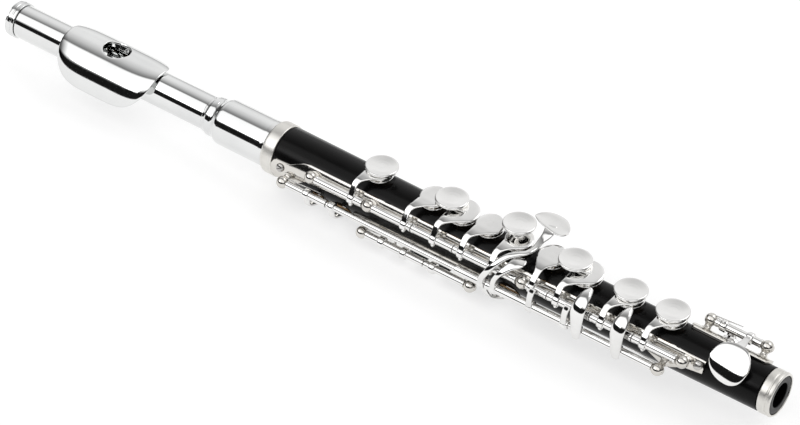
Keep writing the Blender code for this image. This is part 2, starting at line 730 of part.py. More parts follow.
def eb_touch():
    """A broad spade-shaped touch that lies round the near side of the body."""
    rows, radius = 8, 10.9
    rings = []
    for i in range(rows + 1):
        t = 2 * i / rows - 1
        half = EB_TOUCH[3] * (1 - abs(t) ** 2.3) ** 0.5
        u = EB_TOUCH[0] + EB_TOUCH[1] * t
        middle = EB_TOUCH[2] - 4 * t
        if half < 1e-6:
            rings.append([on_body(u, middle, radius)])
            continue
        crown = 0.3 + 0.5 * half / EB_TOUCH[3]
        outline = ((-1, 0), (-0.6, crown * 0.7), (0, crown), (0.6, crown * 0.7), (1, 0), (0.6, -0.4), (0, -0.4),
                   (-0.6, -0.4))
        rings.append([on_body(u, middle + a * half, radius + b) for a, b in outline])
    return loft(rings)


def eb_key():
    y0, z0 = ROD_D
    u, angle = TONE_HOLES["eb"][:2]
    hub = cup_top(u, angle)
    tube = (POSTS_D[1] + POST_CLEAR, POSTS_D[0] - POST_CLEAR)
    pad_arm = ribbon([(27.6, y0 + 0.9, z0 + 0.3, 2.0), (26.8, 12.2, 5.0, 2.6), (u, hub.y, hub.z, 4.6)], 1.0)
    touch_arm = ribbon([(17.8, y0 - 0.6, z0 + 0.8, 2.0), (17.4, 5.4, 10.9, 2.2), (16.9, 1.6, 11.1, 3.0),
                        (16.8, -2.2, 10.7, 3.6)], 1.0)
    pieces = [hinge_barrel(ROD_D, *tube, [17.8, 27.6]), pad_arm, touch_arm, eb_touch()]
    pieces += [tail(ROD_D, 27.6, (-0.4, 1)), cup(u, angle)]
    return drilled(pieces, ROD_D, tube, [pocket(u, angle)])


def thumb_b_key():
    u, angle = TONE_HOLES["thumb"][:2]
    lift = turned_about(ROD_C, -OPEN_ANGLE)
    hub = lift @ cup_top(u, angle)
    tube = (131.2, POSTS_C[0] - POST_CLEAR)
    y0, z0 = ROD_C
    cup_arm = ribbon([(148.6, y0 + 0.3, z0 - 0.9, 2.0), (148.0, -8.6, -10.9, 2.4),
                      (u + 0.1, -4.8, hub.z + 0.2, 4.4), (u + 0.1, hub.y + 0.6, hub.z + 0.05, 5.6)], 1.0)
    touch_arm = ribbon([(139.4, y0 + 0.3, z0 - 0.9, 2.0), (139.0, -8.8, -11.0, 3.0), (138.6, -5.4, -12.2, 7.6),
                        (138.4, -1.0, -12.3, 8.0), (138.4, 2.2, -11.6, 4.0)], 1.0)
    pieces = [hinge_barrel(ROD_C, *tube, [139.4, 148.6]), cup_arm, touch_arm, shifted(cup(u, angle), lift)]
    return drilled(pieces, ROD_C, tube, [shifted(pocket(u, angle), lift)])


def thumb_bb_key():
    y0, z0 = ROD_C
    tube = (POSTS_C[1] + POST_CLEAR, 130.8)
    touch_arm = ribbon([(127.6, y0 + 0.3, z0 - 0.9, 2.0), (127.8, -8.8, -11.0, 2.8), (128.4, -5.6, -12.1, 6.4),
                        (128.8, -1.6, -12.2, 7.0), (129.0, 1.6, -11.6, 3.4)], 1.0)
    return drilled([hinge_barrel(ROD_C, *tube, [127.6]), touch_arm], ROD_C, tube)


def steel(rod, high, low):
    """A hinge steel from post to post, with a slotted screw head at its upper end."""
    return turned([(low - 1.7, 0), (low - 1.7, STEEL_R), (high + 1.7, STEEL_R), (high + 1.7, 0)],
                  (0, rod[0], rod[1]), (-1, 0, 0), SMALL_ROUND)


def build():
    silver = material("silver_plate", (0.86, 0.86, 0.84), 1.0, 0.12)
    nickel = material("nickel_silver", (0.78, 0.75, 0.68), 1.0, 0.2)
    black = material("body_black", (0.012, 0.012, 0.013), 0.0, 0.28)
    cork = material("cork", (0.55, 0.36, 0.2), 0.0, 0.8)
    skin = material("pad_skin", (0.62, 0.42, 0.22), 0.0, 0.55)
    blued = material("hinge_steel", (0.5, 0.5, 0.52), 1.0, 0.25)

    bore = (0, 0, 0)
    finish("crown", crown(), silver, bore)
    finish("head_tube", head_tube(), silver, bore)
    finish("head_sleeve", head_sleeve(), silver, bore)
    finish("lip_plate", lip_plate(), silver, bore)
    finish("embouchure_riser", embouchure_riser(), silver, bore)
    finish("stopper_face_plate", stopper_face_plate(), silver, bore)
    finish("stopper_cork", stopper_cork(), cork, bore)
    finish("stopper_back_plate", stopper_back_plate(), silver, bore)
    finish("stopper_screw", stopper_screw(), silver, bore)

    finish("body_tube", body_tube(), black, bore)
    finish("tenon_cork", tenon_cork(), cork, bore)
    finish("upper_ring", upper_ring(), nickel, bore)
    finish("foot_ring", foot_ring(), nickel, bore)
    finish("main_rib", main_rib(), nickel, bore)
    finish("thumb_rib", thumb_rib(), nickel, bore)
    finish("foot_rib", foot_rib(), nickel, bore)
    for name, u, angle in screw_places():
        finish(name, rib_screw(u, angle), blued, bore)

    finish("steel_c", steel(ROD_A, POSTS_A[0], POSTS_A[1] + 2.1), blued, bore)
    finish("steel_left", steel(ROD_A, POSTS_A[1] - 2.1, POSTS_A[2] + 2.1), blued, bore)
    finish("steel_right", steel(ROD_A, POSTS_A[2] - 2.1, POSTS_A[3]), blued, bore)
    finish("steel_thumb", steel(ROD_C, *POSTS_C), blued, bore)
    finish("steel_eb", steel(ROD_D, *POSTS_D), blued, bore)

    c_tube, = tubes_between(POSTS_A[0], POSTS_A[1], ())
    bb_tube, a_tube, g_tube = tubes_between(POSTS_A[1], POSTS_A[2], (137.2, 120.2))
    fsharp_tube, f_tube, e_tube, d_tube = tubes_between(POSTS_A[2], POSTS_A[3], (82.6, 66.0, 49.6))
    main = rod_pivot(ROD_A)
    finish("c_key", open_key(c_tube, [("c", 162.1, NARROW)], (158.3, 0, 12.9, 1.0)), silver, main)
    finish("bb_key", open_key(bb_tube, [("bb", 140.2, LEAF)]), silver, main)
    finish("a_key", open_key(a_tube, [("a", 128.2, LEAF)], (129.6, 0.1, 13.8, 0.3), "a"), silver, main)
    g_arms = [("g_upper", 117.0, LEAF), ("g_lower", 105.0, LEAF)]
    finish("g_key", open_key(g_tube, g_arms, (104.0, 2.2, 15.0, 1.9)), silver, main)
    finish("fsharp_key", open_key(fsharp_tube, [("fsharp", 88.6, LEAF)]), silver, main)
    finish("f_key", open_key(f_tube, [("f", 79.0, LEAF)], (80.2, 0, 13.5, 0.1), "f"), silver, main)
    finish("e_key", open_key(e_tube, [("e", 61.6, NARROW)], (58.4, 0, 12.3, 1.0)), silver, main)
    finish("d_key", open_key(d_tube, [("d", 45.3, NARROW)], (42.3, 0, 12.2, 1.0)), silver, main)

    trill = rod_pivot(ROD_B)
    finish("dsharp_trill_key", dsharp_trill_key(), silver, trill)
    finish("d_trill_key", d_trill_key(), silver, trill)
    finish("gsharp_key", gsharp_key(), silver, trill)
    finish("bb_lever", bb_lever(), silver, trill)
    finish("eb_key", eb_key(), silver, rod_pivot(ROD_D))
    finish("thumb_b_key", thumb_b_key(), silver, rod_pivot(ROD_C))
    finish("thumb_bb_key", thumb_bb_key(), silver, rod_pivot(ROD_C))

    lift = turned_about(ROD_A, OPEN_ANGLE)
    for hole in ("c", "bb", "a", "g_upper", "g_lower", "fsharp", "f", "e", "d"):
        finish("pad_" + hole, shifted(pad(*TONE_HOLES[hole][:2]), lift), skin, main)
    for hole, r in (("gsharp", GSHARP_CUP_R), ("d_trill", SMALL_CUP_R), ("dsharp_trill", SMALL_CUP_R)):
        finish("pad_" + hole, pad(*TONE_HOLES[hole][:2], r - RIM), skin, trill)
    finish("pad_eb", pad(*TONE_HOLES["eb"][:2]), skin, rod_pivot(ROD_D))
    thumb_lift = turned_about(ROD_C, -OPEN_ANGLE)
    finish("pad_thumb", shifted(pad(*TONE_HOLES["thumb"][:2]), thumb_lift), skin, rod_pivot(ROD_C))


for old in list(bpy.data.objects):
    bpy.data.objects.remove(old)
build()
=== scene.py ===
"""The piccolo's looks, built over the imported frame.

Shapes are made in the bore frame, in millimetres: x runs along the bore and is 0 at the foot end,
y points away from the player and z points up. A distance u is measured from the foot end towards
the crown, so x = -u. piece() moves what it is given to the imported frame, in metres.
"""

import json
import math

import bmesh
import bpy
from mathutils import Matrix, Vector


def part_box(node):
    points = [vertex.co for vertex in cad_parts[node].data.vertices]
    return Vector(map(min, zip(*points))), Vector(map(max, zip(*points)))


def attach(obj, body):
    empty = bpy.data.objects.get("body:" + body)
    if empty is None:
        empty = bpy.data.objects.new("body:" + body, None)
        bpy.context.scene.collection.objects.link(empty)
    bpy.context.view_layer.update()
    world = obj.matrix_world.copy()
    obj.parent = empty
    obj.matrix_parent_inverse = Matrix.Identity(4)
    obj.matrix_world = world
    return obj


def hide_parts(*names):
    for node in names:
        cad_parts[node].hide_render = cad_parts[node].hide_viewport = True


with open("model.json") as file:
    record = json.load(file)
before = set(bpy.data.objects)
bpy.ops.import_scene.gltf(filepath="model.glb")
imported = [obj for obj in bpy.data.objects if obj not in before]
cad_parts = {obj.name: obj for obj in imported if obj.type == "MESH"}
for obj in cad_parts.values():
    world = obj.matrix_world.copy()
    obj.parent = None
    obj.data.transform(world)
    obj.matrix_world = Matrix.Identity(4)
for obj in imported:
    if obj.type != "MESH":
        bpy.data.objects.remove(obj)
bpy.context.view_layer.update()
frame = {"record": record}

MM = 0.001
RECORD = frame["record"]
PIVOT = {j["child"]: Vector(j["pos_m"]) for j in RECORD["behaviour"]["joints"] if "pos_m" in j}
ORIGIN = Vector((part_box("foot_ring")[1][0], PIVOT["crown"].y, PIVOT["crown"].z))


# ---- places, read from the frame ----
def rod_of(body):
    place = (PIVOT[body] - ORIGIN) / MM
    return place.y, place.z


def reach(node):
    """A node's lowest and highest distance from the foot end."""
    low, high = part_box(node)
    return (ORIGIN.x - high[0]) / MM, (ORIGIN.x - low[0]) / MM


def middle(node):
    low, high = reach(node)
    return (low + high) / 2


ROD_A, ROD_B = rod_of("c_key"), rod_of("gsharp_key")
ROD_C, ROD_D = rod_of("thumb_b_key"), rod_of("eb_key")
STEEL_END = 1.7  # a steel reaches this far past the middle of its post
STEEL_STEP = 2.1  # where two steels meet in one post, each ends this far from its middle
TRILL_ROD_END = 1.6  # the D sharp trill rod reaches this far past the middle of its posts
POSTS_A = (reach("steel_c")[1] - STEEL_END, reach("steel_left")[1] - STEEL_END + STEEL_STEP,
           reach("steel_left")[0] + STEEL_END - STEEL_STEP, reach("steel_right")[0] + STEEL_END)
POSTS_B = (reach("dsharp_trill_key")[1] - TRILL_ROD_END,
           reach("dsharp_trill_key")[0] + TRILL_ROD_END)
POSTS_C = (reach("steel_thumb")[1] - STEEL_END, reach("steel_thumb")[0] + STEEL_END)
POSTS_D = (reach("steel_eb")[1] - STEEL_END, reach("steel_eb")[0] + STEEL_END)
CUP_U = {name: middle("pad_" + name) for name in (
    "c", "bb", "a", "g_upper", "g_lower", "fsharp", "f", "e", "d", "gsharp", "d_trill", "dsharp_trill",
    "eb", "thumb")}

LENGTH = reach("crown")[1]
BODY_TOP_U = reach("upper_ring")[1]
RING_LOW_U = reach("upper_ring")[0]
FOOT_RING_U = reach("foot_ring")[1]
TENON_END_U = reach("body_tube")[1]
SLEEVE_LOW_U = reach("head_sleeve")[0]
TUBE_LOW_U, TUBE_HIGH_U = reach("head_tube")
EMBOUCHURE_U = middle("lip_plate")
LIP_HALF_LENGTH = reach("lip_plate")[1] - EMBOUCHURE_U

# ---- sizes in millimetres ----
BODY_R_TOP, BODY_R_FOOT = 9.2, 7.65
BORE_R_TOP, BORE_R_FOOT = 5.5, 4.4
HEAD_TUBE_R, HEAD_BORE_R = 6.25, 5.6
SLEEVE_R, SLEEVE_BORE_R = 8.45, 7.75
EMBOUCHURE_HALF = (5.3, 4.5)
LIP_CHIN_ANGLE, LIP_FAR_ANGLE = 112.0, 56.0  # degrees from the top to the plate's two long edges
LIP_TOP_R, LIP_THICKNESS = 7.9, 0.7
THREAD_PITCH = 0.75
BALL_R, POST_CLEAR = 2.2, 1.95
STEEL_R, TUBE_R, COLLAR_R = 0.8, 1.4, 2.1
ROD_B_R, D_TUBE_R, OUTER_TUBE_R = 0.6, 1.05, 1.6
SEAT_DEPTH, PAD_R, PAD_HEIGHT = 0.7, 4.2, 2.0
CUP_R, WIDE_CUP_R, SMALL_CUP_R, GSHARP_CUP_R = 4.8, 5.5, 4.0, 4.5
CUP_PLATE, RIM, GAP = 0.7, 0.6, 0.15
WIDE_RIM_LIFT = 0.3  # a wide cup's rim clears the body by this much more
RIB_GAP, RIB_THICKNESS = 0.15, 1.0
TOUCH_R = 5.8

OPEN_ANGLE = 8.0  # degrees between an open cup at rest and its closed place
LOW_SIDE = 226.0  # the angle round the bore of the G sharp and trill cups
ROUND, DISC, ROD_SIDES, EDGE_SIDES = 96, 56, 28, 14  # sides of tubes, cups, rods and half a ribbon
FLOOR_HALF = 3.0  # the floor reaches this far from its middle, in metres


def body_r(u):
    return BODY_R_FOOT + (BODY_R_TOP - BODY_R_FOOT) * u / BODY_TOP_U


def bore_r(u):
    return BORE_R_FOOT + (BORE_R_TOP - BORE_R_FOOT) * u / TENON_END_U


def spot(u, y, z):
    return Vector((-u, y, z))


def outward(angle):
    a = math.radians(angle)
    return Vector((0, math.cos(a), math.sin(a)))


def on_body(u, angle, r):
    return spot(u, 0, 0) + r * outward(angle)


def turned_about(rod, degrees):
    centre = Vector((0, rod[0], rod[1]))
    turn = Matrix.Rotation(math.radians(degrees), 4, "X")
    return Matrix.Translation(centre) @ turn @ Matrix.Translation(-centre)


# ---- shapes: each is a list of points and a list of faces ----
def skin(rings, loop=False):
    """Skins rings of points; a ring of one point is a tip, and open ends are capped."""
    points, starts = [], []
    for ring in rings:
        starts.append(len(points))
        points += ring
    order = list(range(len(rings)))
    pairs = list(zip(order, order[1:]))
    if loop:
        pairs.append((order[-1], order[0]))
    faces = []
    for low, high in pairs:
        a, b = starts[low], starts[high]
        count_a, count_b = len(rings[low]), len(rings[high])
        for i in range(max(count_a, count_b)):
            j = (i + 1) % max(count_a, count_b)
            if count_a == 1:
                faces.append((a, b + j, b + i))
            elif count_b == 1:
                faces.append((a + i, a + j, b))
            else:
                faces.append((a + i, a + j, b + j, b + i))
    if not loop:
        for k in (0, -1):
            if len(rings[k]) > 2:
                faces.append(tuple(range(starts[k], starts[k] + len(rings[k]))))
    return points, faces


def moved(shape, matrix):
    return [matrix @ p for p in shape[0]], shape[1]


def rounded(profile, r, loop=False, steps=3):
    """The same profile with each corner replaced by a small arc."""
    count = len(profile)
    out = []
    for i, corner in enumerate(profile):
        if not loop and i in (0, count - 1):
            out.append(tuple(corner))
            continue
        here = Vector(corner)
        before, after = Vector(profile[i - 1]) - here, Vector(profile[(i + 1) % count]) - here
        if before.length < 1e-6 or after.length < 1e-6:
            continue
        a = here + before.normalized() * min(r, before.length * 0.45)
        b = here + after.normalized() * min(r, after.length * 0.45)
        for k in range(steps + 1):
            t = k / steps
            out.append(tuple(a * (1 - t) ** 2 + here * 2 * t * (1 - t) + b * t * t))
    return out


def turned(profile, origin, direction, count=DISC, loop=False, bevel=0.12):
    """A turned shape from (height, radius) points."""
    d = Vector(direction).normalized()
    aside = Vector((0, 0, 1)) if abs(d.z) < 0.9 else Vector((1, 0, 0))
    e1 = (aside - aside.dot(d) * d).normalized()
    e2 = d.cross(e1)
    rings = []
    for h, r in rounded(profile, bevel, loop) if bevel else profile:
        centre = Vector(origin) + h * d
        if r < 1e-6:
            rings.append([centre])
            continue
        angles = (2 * math.pi * i / count for i in range(count))
        rings.append([centre + r * (math.cos(a) * e1 + math.sin(a) * e2) for a in angles])
    return skin(rings, loop)


def on_bore(profile, loop=False, bevel=0.15, count=ROUND):
    return turned(profile, (0, 0, 0), (-1, 0, 0), count, loop, bevel)


def on_rod(rod, profile, bevel=0.12, loop=False):
    return turned(profile, (0, rod[0], rod[1]), (-1, 0, 0), ROD_SIDES, loop, bevel)


def smooth(values, per_span=6):
    """A smooth path through a few control values, each a tuple of numbers."""
    rows = [list(v) for v in values]
    ends = ([2 * a - b for a, b in zip(rows[0], rows[1])], [2 * a - b for a, b in zip(rows[-1], rows[-2])])
    padded = [ends[0]] + rows + [ends[1]]
    path = []
    for quad in zip(padded, padded[1:], padded[2:], padded[3:]):
        for k in range(per_span):
            t = k / per_span
            path.append([
                0.5 * (2 * b + (c - a) * t + (2 * a - 5 * b + 4 * c - d) * t * t
                       + (3 * b - a - 3 * c + d) * t ** 3)
                for a, b, c, d in zip(*quad)
            ])
    path.append(rows[-1])
    return path


def plate(edges, thickness, bulge=0.0, power=0.45):
    """A bar or sheet between two edge curves; each entry is (one edge, other edge, extra bulge)."""
    rings = []
    for i, (left, right, extra) in enumerate(edges):
        before, after = edges[max(i - 1, 0)], edges[min(i + 1, len(edges) - 1)]
        ahead = (after[0] + after[1] - before[0] - before[1]).normalized()
        side = left - right
        half = side.length / 2
        side.normalize()
        up = side.cross(ahead).normalized()
        lift = min(thickness / 2, half)
        ring = []
        for k in range(2 * EDGE_SIDES):
            a = math.pi * (k + 0.5) / EDGE_SIDES
            across = math.copysign(abs(math.cos(a)) ** (power if half > thickness else 0.8), math.cos(a))
            high = math.copysign(abs(math.sin(a)) ** 0.75, math.sin(a))
            arch = (bulge + extra) * (1 - across * across)
            ring.append((left + right) / 2 + side * half * across + up * (lift * high + arch))
        rings.append(ring)
    first, last = rings[0], rings[-1]
    start, end = sum(first, Vector()) / len(first), sum(last, Vector()) / len(last)
    head = [[start + (p - start) * s for p in first] for s in (0.45, 0.8)]
    tail_rings = [[end + (p - end) * s for p in last] for s in (0.8, 0.45)]
    return skin(head + rings + tail_rings)


def ribbon(stations, thickness, across=(1, 0, 0), bulge=0.0, per_span=6):
    """A bar along a smooth path; each station is (u, y, z, width)."""
    path = smooth(stations, per_span)
    places = [spot(*p[:3]) for p in path]
    edges = []
    for i, station in enumerate(path):
        ahead = (places[min(i + 1, len(path) - 1)] - places[max(i - 1, 0)]).normalized()
        side = Vector(across)
        side = (side - side.dot(ahead) * ahead).normalized() * station[3] / 2
        edges.append((places[i] + side, places[i] - side, 0.0))
    return plate(edges, thickness, bulge)


def wire(points, r0, r1, per_span=6, count=10):
    """A round wire along a smooth path, tapered from r0 to r1."""
    path = [Vector(p) for p in smooth([tuple(p) for p in points], per_span)]
    rings = []
    for i, p in enumerate(path):
        ahead = (path[min(i + 1, len(path) - 1)] - path[max(i - 1, 0)]).normalized()
        e1 = ahead.orthogonal().normalized()
        e2 = ahead.cross(e1)
        r = r0 + (r1 - r0) * i / (len(path) - 1)
        angles = (2 * math.pi * k / count for k in range(count))
        rings.append([p + r * (math.cos(a) * e1 + math.sin(a) * e2) for a in angles])
    return skin(rings)


# ---- making the pieces ----
def build_mesh(name, shapes):
    points, faces = [], []
    for shape in shapes:
        start = len(points)
        points += [ORIGIN + p * MM for p in shape[0]]
        faces += [[i + start for i in face] for face in shape[1]]
    mesh = bpy.data.meshes.new(name)
    mesh.from_pydata(points, [], faces)
    bm = bmesh.new()
    bm.from_mesh(mesh)
    bmesh.ops.recalc_face_normals(bm, faces=bm.faces)
    bm.to_mesh(mesh)
    bm.free()
    return mesh


def drilled_mesh(name, shapes, cutters):
    """The shapes' mesh with the cutters taken out of it."""
    whole = bpy.data.objects.new(name, build_mesh(name, shapes))
    bpy.context.scene.collection.objects.link(whole)
    tools = []
    for cutter in cutters:
        tool = bpy.data.objects.new("tool", build_mesh("tool", [cutter]))
        bpy.context.scene.collection.objects.link(tool)
        tools.append(tool)
        step = whole.modifiers.new("step", "BOOLEAN")
        step.operation, step.solver, step.object = "DIFFERENCE", "EXACT", tool
    bpy.context.view_layer.update()
    mesh = bpy.data.meshes.new_from_object(whole.evaluated_get(bpy.context.evaluated_depsgraph_get()))
    mesh.name = name
    for made in [whole, *tools]:
        bpy.data.objects.remove(made)
    return mesh


def piece(name, shapes, look, body, stands_for=(), sharp=42, mesh=None):
    """One object from its shapes, which rides a body and stands for the CAD nodes it replaces."""
    made = bpy.data.objects.new(name, mesh or build_mesh(name, shapes))
    bpy.context.scene.collection.objects.link(made)
    made.data.materials.clear()
    made.data.materials.append(look)
    made.data.shade_smooth()
    made.data.set_sharp_from_angle(angle=math.radians(sharp))
    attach(made, body)
    if stands_for:
        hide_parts(*stands_for)


# ---- materials ----
def mapped_noise(tree, scale, stretch=(1, 1, 1), detail=4.0):
    place = tree.nodes.new("ShaderNodeTexCoord")
    mapping = tree.nodes.new("ShaderNodeMapping")
    mapping.inputs["Scale"].default_value = stretch
    noise = tree.nodes.new("ShaderNodeTexNoise")
    noise.inputs["Scale"].default_value = scale
    noise.inputs["Detail"].default_value = detail
    tree.links.new(place.outputs["Object"], mapping.inputs["Vector"])
    tree.links.new(mapping.outputs["Vector"], noise.inputs["Vector"])
    return noise.outputs["Fac"]


def ramp(tree, source, stops):
    made = tree.nodes.new("ShaderNodeValToRGB")
    made.color_ramp.elements[0].position, made.color_ramp.elements[0].color = stops[0][0], stops[0][1]
    made.color_ramp.elements[1].position, made.color_ramp.elements[1].color = stops[-1][0], stops[-1][1]
    for place, colour in stops[1:-1]:
        made.color_ramp.elements.new(place).color = colour
    tree.links.new(source, made.inputs["Fac"])
    return made.outputs["Color"]


def grey(value):
    return (value, value, value, 1)


def surface(name, colours, roughness, metallic, coarse, fine, stretch=(1, 1, 1), bump=(0.1, 0.00002),
            gloss=0.5, glow=0.0):
    """A surface whose colour drifts between two tones, with a fine grain in its gloss and relief."""
    made = bpy.data.materials.new(name)
    made.use_nodes = True
    tree = made.node_tree
    shader = tree.nodes["Principled BSDF"]
    shader.inputs["Metallic"].default_value = metallic
    shader.inputs["Specular IOR Level"].default_value = gloss
    shader.inputs["Emission Color"].default_value = grey(1.0)
    shader.inputs["Emission Strength"].default_value = glow
    drift = mapped_noise(tree, coarse, detail=3.0)
    grain = mapped_noise(tree, fine, stretch, 6.0)
    tree.links.new(ramp(tree, drift, [(0.3, (*colours[0], 1)), (0.7, (*colours[1], 1))]),
                   shader.inputs["Base Color"])
    tree.links.new(ramp(tree, grain, [(0.3, grey(roughness[0])), (0.72, grey(roughness[1]))]),
                   shader.inputs["Roughness"])
    relief = tree.nodes.new("ShaderNodeBump")
    relief.inputs["Strength"].default_value = bump[0]
    relief.inputs["Distance"].default_value = bump[1]
    tree.links.new(grain, relief.inputs["Height"])
    tree.links.new(relief.outputs["Normal"], shader.inputs["Normal"])
    return made


SILVER = surface("silver_plate", ((0.73, 0.735, 0.735), (0.79, 0.795, 0.79)), (0.03, 0.1), 1.0, 60, 900,
                 bump=(0.05, 0.00002))
KEY_SILVER = surface("key_silver", ((0.78, 0.775, 0.765), (0.86, 0.855, 0.845)), (0.04, 0.08), 1.0, 110, 900,
                     bump=(0.02, 0.00002))
NICKEL = surface("nickel_silver", ((0.60, 0.58, 0.545), (0.72, 0.70, 0.665)), (0.06, 0.14), 1.0, 90, 1200,
                 bump=(0.03, 0.00002))
BRUSHED = surface("nickel_brushed", ((0.68, 0.665, 0.63), (0.80, 0.785, 0.75)), (0.3, 0.42), 1.0, 120, 1500,
                  (0.1, 1, 1), (0.12, 0.00002))
BLACK = surface("body_black", ((0.0015, 0.0015, 0.0016), (0.004, 0.0037, 0.0036)), (0.16, 0.3), 0.0, 45, 1600,
                (0.12, 1, 1), (0.05, 0.00002), 0.12)
CORK = surface("cork", ((0.40, 0.22, 0.10), (0.62, 0.40, 0.21)), (0.7, 0.95), 0.0, 900, 2200,
               bump=(0.6, 0.00012))
SKIN = surface("pad_skin", ((0.52, 0.31, 0.15), (0.70, 0.47, 0.26)), (0.42, 0.65), 0.0, 300, 2600,
               bump=(0.3, 0.00005))
STEEL = surface("hinge_steel", ((0.42, 0.41, 0.40), (0.60, 0.59, 0.575)), (0.12, 0.3), 1.0, 200, 1800,
                (0.2, 1, 1), (0.1, 0.00002))


# ---- head joint ----
def make_head():
    rims = []
    for u in (LENGTH - 4.1, LENGTH - 2.4):
        rims += [(u, 6.72), (u + 1.0, 6.72), (u + 1.15, 6.5), (u + 1.55, 6.5)]
    back = LENGTH - 4.3
    crown = [(LENGTH - 1.3, 0), (LENGTH - 1.3, 2.3), (back, 2.3), (back, 6.5)] + rims
    crown += [(LENGTH - 0.75, 6.55), (LENGTH - 0.3, 5.4), (LENGTH - 0.02, 2.6), (LENGTH, 0)]
    piece("crown_cap", [on_bore(crown, bevel=0.22)], SILVER, "crown", ["crown"])

    tube = on_bore([(TUBE_LOW_U, HEAD_BORE_R), (TUBE_LOW_U, HEAD_TUBE_R), (TUBE_HIGH_U, HEAD_TUBE_R),
                    (TUBE_HIGH_U, HEAD_BORE_R)], loop=True)
    mesh = drilled_mesh("head_tube_smooth", [tube], [oval_peg(EMBOUCHURE_HALF, 2, 12)])
    piece("head_tube_smooth", [], SILVER, "head", ["head_tube"], mesh=mesh)

    s = SLEEVE_LOW_U
    sleeve = [(s, SLEEVE_BORE_R), (s, 8.02), (s + 0.25, 8.15), (s + 1.5, SLEEVE_R), (s + 20.1, SLEEVE_R),
              (s + 21.1, 8.25), (s + 22.0, 7.65), (s + 22.8, 7.15), (s + 23.7, 6.95), (s + 24.2, 7.2),
              (s + 25.8, 7.2), (s + 26.2, 6.85), (s + 26.9, 6.7), (s + 27.5, 6.62),
              (s + 27.5, HEAD_TUBE_R + 0.05), (s + 23.2, HEAD_TUBE_R + 0.05), (s + 23.2, HEAD_BORE_R),
              (s + 21.1, HEAD_BORE_R), (s + 21.1, SLEEVE_BORE_R)]
    piece("head_sleeve_smooth", [on_bore(sleeve, True, 0.3)], SILVER, "head", ["head_sleeve"])
    piece("lip_plate_smooth", [lip_plate()], SILVER, "head", ["lip_plate"], 50)
    piece("embouchure_wall", [embouchure_wall()], SILVER, "head", ["embouchure_riser"], 50)

    face = reach("stopper_face_plate")[0]
    piece("stopper_front", [on_bore([(face, 0), (face, 5.1), (face + 0.9, 5.1), (face + 0.9, 0)])], SILVER,
          "stopper", ["stopper_face_plate"])
    low, high = reach("stopper_cork")
    cork = [(low, 1.7), (low, 5.2), (low + 0.5, 5.4), (high - 0.5, 5.4), (high, 5.2), (high, 1.7)]
    piece("stopper_plug", [on_bore(cork, True)], CORK, "stopper", ["stopper_cork"])
    low, high = reach("stopper_back_plate")
    piece("stopper_rear", [on_bore([(low, 1.7), (low, 5.1), (high, 5.1), (high, 1.7)], True)], SILVER,
          "stopper", ["stopper_back_plate"])
    low, high = reach("stopper_screw")
    thread = [(low, 0)]
    turns = int((high - low - 1) / THREAD_PITCH)
    for k in range(turns):
        root = low + 0.5 + THREAD_PITCH * k
        thread += [(root, 1.2), (root + THREAD_PITCH / 2, 1.44)]
    thread += [(high - 0.2, 1.1), (high, 0)]
    piece("stopper_thread", [on_bore(thread, bevel=0, count=32)], SILVER, "stopper",
          ["stopper_screw"])


def oval_peg(halves, z0, z1, count=72):
    rings = []
    for z in (z0, z1):
        angles = (2 * math.pi * i / count for i in range(count))
        rings.append([spot(EMBOUCHURE_U - halves[0] * math.cos(a), halves[1] * math.sin(a), z)
                      for a in angles])
    return skin(rings)


def lip_height(du, angle):
    """The lip plate's distance from the bore axis; angle is from the top, negative to the chin."""
    share = abs(angle) / 90.0
    crest = LIP_TOP_R + (4.6 * share ** 1.6 if angle < 0 else 2.6 * share ** 1.3)
    edge = min(1.0, abs(du) / LIP_HALF_LENGTH)
    root = HEAD_TUBE_R + LIP_THICKNESS + 0.2
    return crest - (crest - root) * 0.6 * edge ** 5


def lip_point(du, angle, lift):
    return on_body(EMBOUCHURE_U + du, 90 - angle, lip_height(du, angle) + lift)


def lip_outline(t):
    """The plate's edge, a rectangle with soft corners, as a length along the bore and an angle round it."""
    c, s = math.cos(t), math.sin(t)
    out = (c ** 4 + s ** 4) ** -0.25
    span = LIP_CHIN_ANGLE if s < 0 else LIP_FAR_ANGLE
    return (LIP_HALF_LENGTH - 0.1) * c * out, span * s * out


def hole_edge(t, grow=0.0):
    across = math.degrees((EMBOUCHURE_HALF[1] + grow) / LIP_TOP_R)
    return (EMBOUCHURE_HALF[0] + grow) * math.cos(t), across * math.sin(t)


def lip_plate():
    """One closed sheet, from the hole's softened edge out to the rim and back underneath."""
    angles = [2 * math.pi * i / 120 for i in range(120)]
    profile = [(0.0, -0.35), (0.004, -0.12), (0.016, -0.02)]
    profile += [(k / 22, 0.0) for k in range(1, 22)]
    profile += [(0.985, -0.03), (0.997, -0.12), (1.0, -0.3), (0.995, -0.52), (0.97, -0.64)]
    profile += [(k / 10, -LIP_THICKNESS) for k in range(9, 0, -1)] + [(0.0, -LIP_THICKNESS)]
    rings = []
    for w, lift in profile:
        ring = []
        for t in angles:
            d0, a0 = hole_edge(t)
            d1, a1 = lip_outline(t)
            ring.append(lip_point(d0 + (d1 - d0) * w, a0 + (a1 - a0) * w, lift))
        rings.append(ring)
    return skin(rings, loop=True)


def embouchure_wall():
    angles = [2 * math.pi * i / 72 for i in range(72)]
    rings = []
    for grow, share in ((0.0, 0.0), (0.0, 0.5), (0.0, 1.0), (1.1, 1.0), (1.1, 0.0)):
        ring = []
        for t in angles:
            du, angle = hole_edge(t, grow)
            low, high = HEAD_TUBE_R + GAP, lip_height(du, angle) - LIP_THICKNESS - GAP
            ring.append(on_body(EMBOUCHURE_U + du, 90 - angle, low + (high - low) * share))
        rings.append(ring)
    return skin(rings, loop=True)


